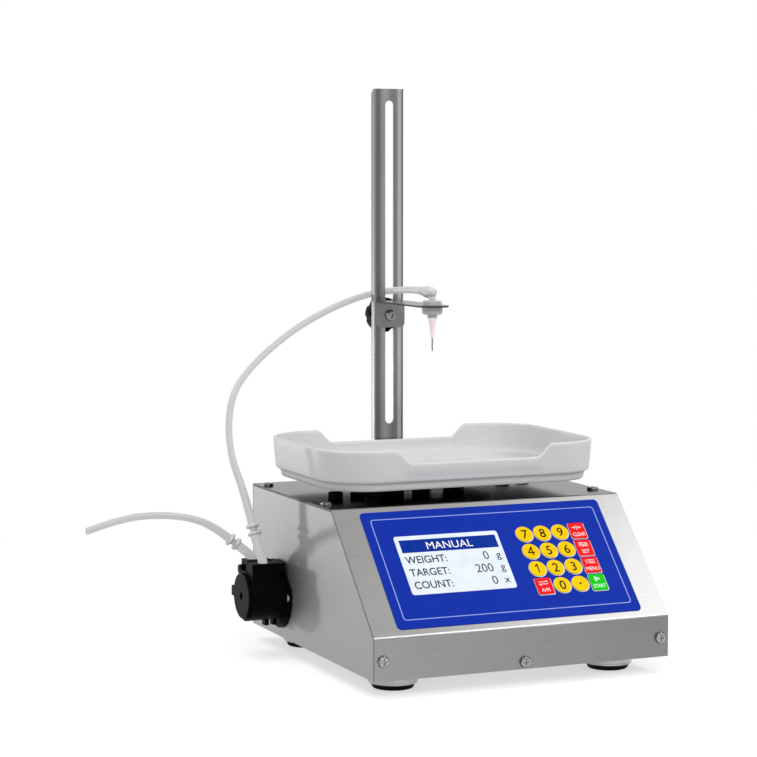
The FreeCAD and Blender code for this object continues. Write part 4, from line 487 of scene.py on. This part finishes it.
def cover_bend(face):
    return STRIP_WAY < face.normal.y < BEND_WAY and BEND_LOW < face.center.z < BEND_HIGH


def screw_rim(face):
    return max(abs(c) for c in face.normal) < RIM_WAY


def column_flange(face):
    return abs(face.normal.x) > 0.7 and abs(face.center.x) > COLUMN_SIDE


def arm_edge(face):
    """The folded sheet's cut edges: both sides, the lower end, and the rounded front end."""
    side = abs(face.normal.x) > 0.3
    foot = face.normal.z < -0.9 and face.center.z < ARM_FOOT
    front = abs(face.normal.z) < 0.3 and face.center.z > ARM_PLATE and face.center.y < ARM_FRONT
    return side or foot or front


cover = dress("console_cover", console_steel, 0.0003)
# The cover's cut ends take the dark cut edge colour: partly their own cut edge, partly painted shade in the
# seam between the cover and the side panels.
recolour(cover, cut_edge_and_seam_shade, cover_end)
recolour(cover, strip_steel_painted_reflection, cover_strip)
recolour(cover, bend_steel_painted_highlight, cover_bend)
for side in ("left_side_panel", "right_side_panel"):
    dress(side, side_steel, 0.0006)
for sheet in ("rear_panel", "base_tray"):
    dress(sheet, panel_steel, 0.0003)
for screws in ("case_screws", "column_bolts", "pump_screws"):
    recolour(dress(screws, bright_steel, 0.00025), rim_steel_painted_reflection, screw_rim)
dress("foot_cups", turned_steel, 0.0005)
dress("foot_pads", black_rubber, 0.0008)
recolour(dress("column", column_steel_painted_bands, 0.0003), flange_steel_painted_shade, column_flange)
recolour(dress("nozzle_arm", arm_steel, 0.00015), cut_edge_and_seam_shade, arm_edge)
dress("clamp_bolt", bright_steel, 0.0003)
dress("clamp_washer", bright_steel, 0.0002)
dress("clamp_knob", knob_plastic, 0.001)


# Nozzle

NUT_TOP = (0, 0, 0.2976)
UP = (0, 0, 1)
REARWARD = (0, 1, 0)
STEM_FOOT = (0, 0.044, 0.2972)
STEM_PROFILE = [(0.0, 0.0), (0.0, 0.0029), (0.0058, 0.0029), (0.0068, 0.0)]
BARB_MIDDLE = (0, 0.044, 0.3047)
BARB_PROFILE = [
    (-0.0042, 0.0), (-0.0038, 0.0018), (-0.0026, 0.0033), (-0.0005, 0.0041), (0.003, 0.0046),
    (0.006, 0.0051), (0.0085, 0.0053), (0.0105, 0.0051), (0.014, 0.0044), (0.0195, 0.0036),
    (0.0212, 0.0033), (0.0212, 0.0)]
ELBOW_CREASE = 50.0


def shorten_holder(shape):
    """The holder's own stem ends at the nut's top, where the elbow's begins."""
    slice_off(shape, NUT_TOP, UP, lambda face: True)


def build_elbow():
    """Stem, and a barb housing that swells before it takes the tube."""
    shape = lathe(STEM_PROFILE, STEM_FOOT, UP)
    merge(shape, lathe(BARB_PROFILE, BARB_MIDDLE, REARWARD))
    elbow = piece("elbow_moulding", shape, fitting_plastic, "carriage", ELBOW_CREASE)
    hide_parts("elbow_fitting")


dress("holder_nut", milky_plastic, 0.0004)
dress("luer_holder", milky_plastic, 0.0004, change=shorten_holder)
build_elbow()
dress("tube_couplers", fitting_plastic, 0.0011)
dress("needle_hub", hub_plastic, 0.0003)
dress("needle_tube", needle_steel, 0.00005)


# Pump

PUMP_AXIS = Vector((0, 0.069, 0.051))
FLANGE_CUTS = [((0, 0, 1), 0.0285), ((0, -0.7071, 0.7071), 0.0243), ((0, 0.7071, 0.7071), 0.0243)]
FLANGE_OUTSIDE = -0.13205
WEB_MIDDLE = (-0.1345, 0.065, 0.0755)
WEB_SIZE = (0.0055, 0.026, 0.008)


def trim_flange(shape):
    """The mounting flange runs straight from each ear to the tube ports, with a web behind the ports."""
    for out, reach in FLANGE_CUTS:
        slice_off(shape, PUMP_AXIS + Vector(out) * reach, out,
                  lambda face: all(v.co.x > FLANGE_OUTSIDE for v in face.verts))
    web = bmesh.new()
    bmesh.ops.create_cube(web, size=1)
    bmesh.ops.transform(web, matrix=Matrix.Translation(WEB_MIDDLE) @ Matrix.Diagonal((*WEB_SIZE, 1)),
                        verts=web.verts)
    merge(shape, web)


dress("pump_tube", silicone, 0.0002)
dress("pump_housing", pump_plastic, 0.0006, change=trim_flange)
dress("pump_cover", cover_plastic, 0.0006)
dress("pump_rotor", rotor_plastic, 0.0003)
for roller in ("pump_roller_1", "pump_roller_2", "pump_roller_3"):
    dress(roller, roller_plastic, 0.0003)
dress("pump_motor", panel_steel, 0.0003)

# Weighing gear
dress("pan_cushions", black_rubber, 0.0005)
dress("load_cell", cell_aluminium, 0.0003)
dress("load_cell_blocks", cell_aluminium, 0.0003)
dress("pan_carrier", carrier_plastic, 0.0004)

# Rear and inside
dress("power_inlet", black_fitting, 0.0004)
dress("pedal_socket", black_fitting, 0.0003)
dress("power_rocker", rocker_red, 0.0005)
dress("power_supply", supply_metal, 0.0003)
dress("console_board", circuit_board, 0.0002)
dress("display_module", display_glass, 0.0002)


# Tray, in mm: stepped foot, drafted wall, soft rim let down in the middle of front and rear

PAN_HALF = (126.0, 87.0)
PAN_CORNER = 45.0
PAN_MIDDLE = 44.5
PAN_CREASE = 60.0
# (inset from the rim's outline, height), up the outside, over the rim and down to the inside's floor
PAN_PROFILE = [
    (9.5, 147.5), (8.0, 147.7), (7.1, 148.6), (6.6, 150.5), (6.2, 152.6), (5.6, 153.9), (4.4, 154.5),
    (3.2, 154.8), (2.4, 155.6), (2.1, 157.0), (1.6, 162.0), (0.7, 173.0), (0.3, 178.5), (0.25, 180.1),
    (0.8, 181.1), (1.7, 181.5), (2.6, 181.1), (3.15, 180.1), (3.3, 178.5), (3.7, 173.0), (4.6, 162.0),
    (5.2, 159.2), (5.9, 158.1), (7.2, 157.6), (8.4, 157.1), (9.0, 156.0), (9.5, 153.5), (10.2, 151.6),
    (11.6, 150.7), (14.0, 150.5)]
# Where the long walls get rows of points, close together where the rim comes down
RIM_ROWS = (6, 20, 38, 52, 56, 58, 59, 60, 61, 62.5, 64.5, 66.5, 68, 69, 70, 71, 73, 77)
NOTCH_HALF = 58.0
NOTCH_RUN = 13.0
NOTCH_DROP = 11.0
NOTCH_LOW = 160.0
NOTCH_HIGH = 173.0


def lower_rim(v):
    """Lets one point down: fully between the notch's ends, and along half a straight, half a soft slope."""
    along = max(0.0, min(1.0, (abs(v.co.x) - NOTCH_HALF) / NOTCH_RUN))
    soft = along * along * (3 - 2 * along)
    drop = NOTCH_DROP * (1 - 0.5 * (along + soft))
    v.co.z -= drop * min(1.0, (v.co.z - NOTCH_LOW) / (NOTCH_HIGH - NOTCH_LOW))


def build_tray():
    shape = bmesh.new()
    bmesh.ops.create_grid(shape, x_segments=1, y_segments=1, size=0.5)
    bmesh.ops.scale(shape, vec=(2 * PAN_HALF[0], 2 * PAN_HALF[1], 1), verts=shape.verts)
    bmesh.ops.bevel(shape, geom=shape.verts, offset=PAN_CORNER, offset_type="OFFSET", segments=14,
                    profile=0.5, affect="VERTICES", material=-1)
    edges = [e for e in shape.edges if e.is_boundary]
    skeleton = [PAN_HALF[i] - PAN_CORNER for i in X_AND_Y]

    def shift(verts, old, new):
        """Moves an outline from one inset and height to the next, round its corners' centres."""
        for v in verts:
            core = Vector((*(max(-skeleton[i], min(skeleton[i], v.co[i])) for i in X_AND_Y), 0))
            flat = Vector((v.co.x, v.co.y, 0))
            out = (flat - core) * (PAN_CORNER - new[0]) / (PAN_CORNER - old[0])
            v.co = core + out + Vector((0, 0, new[1]))

    shift(shape.verts, (0, 0), PAN_PROFILE[0])
    bmesh.ops.reverse_faces(shape, faces=shape.faces)
    for old, new in zip(PAN_PROFILE, PAN_PROFILE[1:]):
        step = bmesh.ops.extrude_edge_only(shape, edges=edges)["geom"]
        edges = [g for g in step if isinstance(g, bmesh.types.BMEdge)]
        shift([g for g in step if isinstance(g, bmesh.types.BMVert)], old, new)
    bmesh.ops.contextual_create(shape, geom=edges)
    for row in RIM_ROWS:
        for sign in (-1, 1):
            bmesh.ops.bisect_plane(shape, geom=everything(shape), plane_co=(sign * row, 0, 0),
                                   plane_no=(1, 0, 0), dist=1e-4)
    for v in shape.verts:
        if v.co.z > NOTCH_LOW and abs(v.co.x) < skeleton[0]:
            lower_rim(v)
    bmesh.ops.translate(shape, vec=(0, PAN_MIDDLE, 0), verts=shape.verts)
    bmesh.ops.scale(shape, vec=(MM, MM, MM), verts=shape.verts)
    bmesh.ops.recalc_face_normals(shape, faces=shape.faces)
    tray = piece("weighing_tray", shape, tray_plastic, "pan", PAN_CREASE)
    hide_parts("weighing_pan")


build_tray()


# Console: everything is drawn on the slope's plane, x across, y up the slope, z off it, in mm

SLOPE_FOOT = (0, -0.1335, 0.048)
SLOPE_RISE, SLOPE_RUN = 89.0, 87.0
SLOPE = (Matrix.Translation(SLOPE_FOOT) @ Matrix.Rotation(math.atan2(SLOPE_RISE, SLOPE_RUN), 4, "X")
         @ Matrix.Scale(MM, 4))
FILM_TOP = 0.4
WINDOW_TOP = 0.7
CAP_TOP = 1.45
INK = 0.04
CAPITALS = 0.73


def flat(shape, centre, size, corner, low, line=0.0):
    """Adds a printed plate, round where its corners meet, or only its outline where a line is given."""
    new = bmesh.new()
    if corner * 2 >= min(size):
        bmesh.ops.create_circle(new, cap_ends=True, segments=48, radius=size[0] / 2)
    else:
        bmesh.ops.create_grid(new, x_segments=1, y_segments=1, size=0.5)
        bmesh.ops.scale(new, vec=(size[0], size[1], 1), verts=new.verts)
        if corner:
            bmesh.ops.bevel(new, geom=new.verts, offset=corner, offset_type="OFFSET", segments=8,
                            profile=0.5, affect="VERTICES", material=-1)
    if line:
        inner = new.faces[:]
        bmesh.ops.inset_region(new, faces=inner, thickness=line, use_even_offset=True, use_boundary=True)
        bmesh.ops.delete(new, geom=inner, context="FACES")
    bmesh.ops.solidify(new, geom=new.faces, thickness=INK)
    bmesh.ops.recalc_face_normals(new, faces=new.faces)
    lowest = min(v.co.z for v in new.verts)
    bmesh.ops.translate(new, vec=(centre[0], centre[1], low - lowest), verts=new.verts)
    merge(shape, new)


def stroke(shape, start, end, low, width):
    """Adds one drawn stroke between two points."""
    a, b = Vector(start), Vector(end)
    new = bmesh.new()
    bmesh.ops.create_cube(new, size=1)
    bmesh.ops.scale(new, vec=((b - a).length + width, width, INK), verts=new.verts)
    middle = (a + b) / 2
    turn = Matrix.Rotation(math.atan2(b.y - a.y, b.x - a.x), 4, "Z")
    bmesh.ops.transform(new, matrix=Matrix.Translation((middle.x, middle.y, low + INK / 2)) @ turn,
                        verts=new.verts)
    merge(shape, new)


def words(shape, text, place, height, low, align="CENTER", narrow=1.0, weight=0.0):
    """Adds generic lettering of a given capital height."""
    curve = bpy.data.curves.new("words", "FONT")
    curve.body = text
    curve.size = height / CAPITALS
    curve.align_x = align
    curve.extrude = INK / 2
    curve.offset = weight
    curve.resolution_u = 4
    holder = bpy.data.objects.new("words", curve)
    scene.collection.objects.link(holder)
    bpy.context.view_layer.update()
    mesh = bpy.data.meshes.new_from_object(holder)
    bpy.data.objects.remove(holder)
    mesh.transform(Matrix.Translation((place[0], place[1] - height / 2, low + INK / 2))
                   @ Matrix.Diagonal((narrow, 1, 1, 1)))
    shape.from_mesh(mesh)
    bpy.data.meshes.remove(mesh)


def on_console(name, shape, surface, body):
    bmesh.ops.transform(shape, matrix=SLOPE, verts=shape.verts)
    return piece(name, shape, surface, body)


# Overlay and display

BORDER_MIDDLE, BORDER_SIZE, BORDER_CORNER, BORDER_LINE = (0.4, 63.0), (202.0, 97.6), 3.0, 0.7
HEADER_MIDDLE, HEADER_SIZE = (-39.75, 83.5), (85.3, 12.4)
TITLE_HEIGHT = 7.4
DISPLAY_ROWS = [("WEIGHT:", "0", "g"), ("TARGET:", "200", "g"), ("COUNT:", "0", "x")]
ROWS_TOP = 82.65
ROW_PITCH = 12.2
LABEL_LEFT, VALUE_RIGHT, UNIT_RIGHT = -82.0, -8.6, 1.8
LABEL_HEIGHT, VALUE_HEIGHT = 7.2, 8.4


def build_console():
    dress("membrane_overlay", blue_film, 0.0001)
    dress("display_window", window_film, 0.0001)
    border = bmesh.new()
    flat(border, BORDER_MIDDLE, BORDER_SIZE, BORDER_CORNER, FILM_TOP, BORDER_LINE)
    on_console("border_line", border, border_ink, "machine")
    header = bmesh.new()
    flat(header, HEADER_MIDDLE, HEADER_SIZE, 0.0, WINDOW_TOP)
    on_console("display_header_bar", header, header_ink, "machine")
    title = bmesh.new()
    words(title, "MANUAL", HEADER_MIDDLE, TITLE_HEIGHT, WINDOW_TOP + INK)
    on_console("display_title", title, white_ink, "machine")
    marks = bmesh.new()
    for row, (label, value, unit) in enumerate(DISPLAY_ROWS):
        y = ROWS_TOP - ROW_PITCH * (row + 1)
        words(marks, label, (LABEL_LEFT, y), LABEL_HEIGHT, WINDOW_TOP, "LEFT", narrow=0.9, weight=0.12)
        words(marks, value, (VALUE_RIGHT, y), VALUE_HEIGHT, WINDOW_TOP, "RIGHT", narrow=0.92)
        words(marks, unit, (UNIT_RIGHT, y), LABEL_HEIGHT, WINDOW_TOP, "RIGHT", narrow=0.95, weight=0.06)
    on_console("display_figures", marks, display_ink, "machine")


# Keys, row by row from the top left

KEY_LABELS = {
    "key_7": "7", "key_8": "8", "key_9": "9", "key_red_top": "CLEAR",
    "key_4": "4", "key_5": "5", "key_6": "6", "key_red_upper": "SET",
    "key_1": "1", "key_2": "2", "key_3": "3", "key_red_lower": "MENU",
    "key_red_left": "A/M", "key_0": "0", "key_point": "point", "key_green": "START"}
KEY_COLUMNS = 4
KEY_LEFT = 29.4
KEY_TOP = 87.8
KEY_PITCH = (16.33, 17.3)
KEY_EDGE = 0.00028
KEY_ROUND = 14.8
KEY_SQUARE = (14.2, 15.5)
# A square key's corner in the solid, and the smaller one of the real punched film
KEY_CORNER = 3.0
KEY_SHARP = 1.1
CORNER_SLACK = 0.001
# The white rim printed under each key: how much wider it is, how far off to the right, and its line
RING_OVER = 1.1
RING_SHIFT = 0.35
RING_LINE = 1.1
RING_CORNER = 1.8
# Marks on the caps: letter heights, the words' place below the key's middle, and stroke widths
DIGIT_HEIGHT = 8.8
DIGIT_WIDTH = 1.15
WORD_HEIGHT = 3.8
WORD_DROP = 3.7
SIGN_WIDTH = 0.5
POINT_SIZE = 2.0
# White strokes over the word on each square key, in parts of the key's size
KEY_SIGNS = {
    "CLEAR": [((-0.3, 0.2), (-0.1, 0.2)), ((-0.16, 0.27), (-0.1, 0.2)), ((-0.16, 0.13), (-0.1, 0.2)),
              ((0.3, 0.2), (0.1, 0.2)), ((0.16, 0.27), (0.1, 0.2)), ((0.16, 0.13), (0.1, 0.2)),
              ((0.0, 0.08), (0.0, 0.32))],
    "SET": [((-0.28, 0.3), (0.28, 0.3)), ((-0.28, 0.2), (0.28, 0.2)), ((-0.28, 0.1), (0.28, 0.1)),
            ((-0.12, 0.25), (-0.12, 0.35)), ((0.14, 0.15), (0.14, 0.25)), ((-0.04, 0.05), (-0.04, 0.15))],
    "MENU": [((-0.28, 0.3), (-0.2, 0.3)), ((-0.1, 0.3), (0.28, 0.3)), ((-0.28, 0.2), (-0.2, 0.2)),
             ((-0.1, 0.2), (0.28, 0.2)), ((-0.28, 0.1), (-0.2, 0.1)), ((-0.1, 0.1), (0.28, 0.1))],
    "A/M": [((-0.28, 0.26), (0.28, 0.26)), ((0.28, 0.26), (0.18, 0.34)), ((-0.28, 0.12), (0.28, 0.12)),
            ((-0.28, 0.12), (-0.18, 0.04))],
    "START": [((-0.14, 0.34), (-0.14, 0.06)), ((-0.14, 0.34), (0.16, 0.2)), ((-0.14, 0.06), (0.16, 0.2)),
              ((-0.08, 0.26), (-0.08, 0.14)), ((0.0, 0.22), (0.0, 0.18))]}
# The font's 1 has no flag and its 4 hardly any counter, so these are strokes, in mm from the key's middle.
DIGIT_STROKES = {
    "1": [((0.4, -3.8), (0.4, 3.8)), ((0.4, 3.8), (-1.5, 2.2))],
    "4": [((1.0, -3.8), (1.0, 3.8)), ((1.0, 3.8), (-2.5, -1.5)), ((-2.5, -1.5), (2.4, -1.5))]}


def square_up(shape, x, y):
    """Draws the corners of a square cap out to the small radius that a punched film has."""
    onto = SLOPE.inverted()
    for v in shape.verts:
        place = onto @ v.co
        beyond = [abs(place[i] - (x, y)[i]) - KEY_SQUARE[i] / 2 + KEY_CORNER for i in X_AND_Y]
        if place.z > FILM_TOP and min(beyond) > -CORNER_SLACK:
            for i in X_AND_Y:
                out = KEY_SQUARE[i] / 2 - KEY_SHARP + beyond[i] * KEY_SHARP / KEY_CORNER
                place[i] = (x, y)[i] + math.copysign(out, place[i] - (x, y)[i])
            v.co = SLOPE @ place


def draw(marks, strokes, x, y, scale, width):
    """Adds strokes on a key's cap; their ends are given from its middle, in parts of the scale."""
    for ends in strokes:
        start, end = ([x + place[0] * scale[0], y + place[1] * scale[1]] for place in ends)
        stroke(marks, start, end, CAP_TOP, width)


def build_square_key(name, label, x, y, rings, marks):
    flat(rings, (x + RING_SHIFT, y), [side + RING_OVER for side in KEY_SQUARE], RING_CORNER, FILM_TOP,
         RING_LINE)
    surface, slot = (red_film, "red_key") if "red" in name else (green_film, "green_key")
    dress(name, surface, KEY_EDGE, change=lambda shape: square_up(shape, x, y))
    words(marks, label, (x, y - WORD_DROP), WORD_HEIGHT, CAP_TOP, narrow=0.74 if len(label) > 4 else 0.86)
    draw(marks, KEY_SIGNS[label], x, y, KEY_SQUARE, SIGN_WIDTH)
    on_console(name + "_mark", marks, white_ink, name + "_button")


def build_round_key(name, label, x, y, rings, marks):
    flat(rings, (x + RING_SHIFT, y), [KEY_ROUND + RING_OVER] * 2, KEY_ROUND, FILM_TOP, RING_LINE)
    dress(name, yellow_film, KEY_EDGE)
    if label == "point":
        flat(marks, (x, y), (POINT_SIZE, POINT_SIZE), POINT_SIZE / 2, CAP_TOP)
    elif label in DIGIT_STROKES:
        draw(marks, DIGIT_STROKES[label], x, y, (1, 1), DIGIT_WIDTH)
    else:
        words(marks, label, (x, y), DIGIT_HEIGHT, CAP_TOP, narrow=0.95, weight=0.13)
    on_console(name + "_mark", marks, black_ink, name + "_button")


def build_keys():
    rings = bmesh.new()
    for index, (name, label) in enumerate(KEY_LABELS.items()):
        row, column = divmod(index, KEY_COLUMNS)
        x, y = KEY_LEFT + KEY_PITCH[0] * column, KEY_TOP - KEY_PITCH[1] * row
        build = build_square_key if "red" in name or "green" in name else build_round_key
        build(name, label, x, y, rings, bmesh.new())
    on_console("key_surrounds", rings, white_ink, "machine")


build_console()
build_keys()


# Studio: white floor and surroundings, soft lamps

WHITE = linear("#FFFFFF")
PAPER = linear("#C4C4C4")
AMBIENT = 0.55
FRONT_GLOSS = 0.5
FRONT_FALL = (-0.9, -0.2)
FLOOR_LIFT = 0.58
FLOOR_FADE = (0.35, 0.8)
FLOOR_RADIUS = 8.0
# Each lamp's name, place, the point it aims at, power in watts and width in metres
LAMPS = [
    ("lamp_rear_left", (-0.85, 1.49, 0.05), (-0.13, 0.05, 0.06), 2.65, 0.1),
    ("lamp_bend", (1.0, -1.65, 1.6), (0.0, -0.1, 0.06), 7.0, 0.5),
    ("lamp_right", (0.66, -0.36, 0.88), (0.12, -0.13, 0.06), 1.8, 0.45),
    ("lamp_top", (-0.7, 0.3, 1.9), (0.0, 0.0, 0.15), 12.0, 1.4),
    ("lamp_front", (-0.5, -1.9, 1.3), (0.0, 0.0, 0.15), 12.0, 1.4)]


def build_world():
    """White all round; what metal mirrors falls off towards the unlit side of the studio in front."""
    world = bpy.data.worlds.new("studio")
    scene.world = world
    world.use_nodes = True
    tree = world.node_tree
    tree.nodes.clear()
    ray = add(tree, "ShaderNodeLightPath").outputs
    way = add(tree, "ShaderNodeTexCoord").outputs["Generated"]
    front = add(tree, "ShaderNodeSeparateXYZ", None, {"Vector": way}).outputs["Y"]
    fall = add(tree, "ShaderNodeMapRange", {"interpolation_type": "SMOOTHSTEP", "From Min": FRONT_FALL[0],
                                            "From Max": FRONT_FALL[1], "To Min": FRONT_GLOSS,
                                            "To Max": 1.0}, {"Value": front})
    dim = add(tree, "ShaderNodeBackground", {"Color": WHITE, "Strength": AMBIENT})
    mirrored = add(tree, "ShaderNodeBackground", {"Color": WHITE}, {"Strength": fall.outputs["Result"]})
    white = add(tree, "ShaderNodeBackground", {"Color": WHITE, "Strength": 1.0})
    lit = add(tree, "ShaderNodeMixShader", None,
              {0: ray["Is Glossy Ray"], 1: dim.outputs[0], 2: mirrored.outputs[0]})
    seen = add(tree, "ShaderNodeMath", {"operation": "MAXIMUM"},
               {0: ray["Is Camera Ray"], 1: ray["Is Transmission Ray"]})
    both = add(tree, "ShaderNodeMixShader", None,
               {0: seen.outputs[0], 1: lit.outputs[0], 2: white.outputs[0]})
    add(tree, "ShaderNodeOutputWorld", None, {"Surface": both.outputs[0]})


def build_floor():
    """Paper that keeps the shadow near the object and goes on as plain white.

    Camera, glossy and transmission rays see it white; the rays that carry light see only the paper.
    """
    material = bpy.data.materials.new("white_studio_paper")
    material.use_nodes = True
    tree = material.node_tree
    tree.nodes.clear()
    place = add(tree, "ShaderNodeTexCoord").outputs["Object"]
    reach = add(tree, "ShaderNodeVectorMath", {"operation": "LENGTH"}, {0: place}).outputs["Value"]
    far = add(tree, "ShaderNodeMapRange", {"interpolation_type": "SMOOTHSTEP", "From Min": FLOOR_FADE[0],
                                           "From Max": FLOOR_FADE[1]}, {"Value": reach})
    ray = add(tree, "ShaderNodeLightPath").outputs
    pair = add(tree, "ShaderNodeMath", {"operation": "MAXIMUM"},
               {0: ray["Is Camera Ray"], 1: ray["Is Glossy Ray"]})
    seen = add(tree, "ShaderNodeMath", {"operation": "MAXIMUM"},
               {0: pair.outputs[0], 1: ray["Is Transmission Ray"]}).outputs[0]
    blank = add(tree, "ShaderNodeMath", {"operation": "MULTIPLY"}, {0: far.outputs["Result"], 1: seen})
    paper = add(tree, "ShaderNodeBsdfDiffuse", {"Color": PAPER})
    lift = add(tree, "ShaderNodeMath", {"operation": "MULTIPLY", 1: FLOOR_LIFT}, {0: seen})
    glow = add(tree, "ShaderNodeEmission", {"Color": WHITE}, {"Strength": lift.outputs[0]})
    near = add(tree, "ShaderNodeAddShader", None, {0: paper.outputs[0], 1: glow.outputs[0]})
    white = add(tree, "ShaderNodeEmission", {"Color": WHITE, "Strength": 1.0})
    both = add(tree, "ShaderNodeMixShader", None,
               {0: blank.outputs[0], 1: near.outputs[0], 2: white.outputs[0]})
    add(tree, "ShaderNodeOutputMaterial", None, {"Surface": both.outputs[0]})
    shape = bmesh.new()
    bmesh.ops.create_circle(shape, cap_ends=True, segments=64, radius=FLOOR_RADIUS)
    mesh = bpy.data.meshes.new("studio_floor")
    shape.to_mesh(mesh)
    shape.free()
    mesh.materials.append(material)
    floor = bpy.data.objects.new("studio_floor", mesh)
    scene.collection.objects.link(floor)


def build_lamp(name, place, target, power, size):
    light = bpy.data.lights.new(name, "AREA")
    light.energy = power
    light.shape = "DISK"
    light.size = size
    made = bpy.data.objects.new(name, light)
    made.location = place
    made.rotation_euler = (Vector(target) - Vector(place)).to_track_quat("-Z", "Y").to_euler()
    scene.collection.objects.link(made)


build_world()
build_floor()
for lamp in LAMPS:
    build_lamp(*lamp)
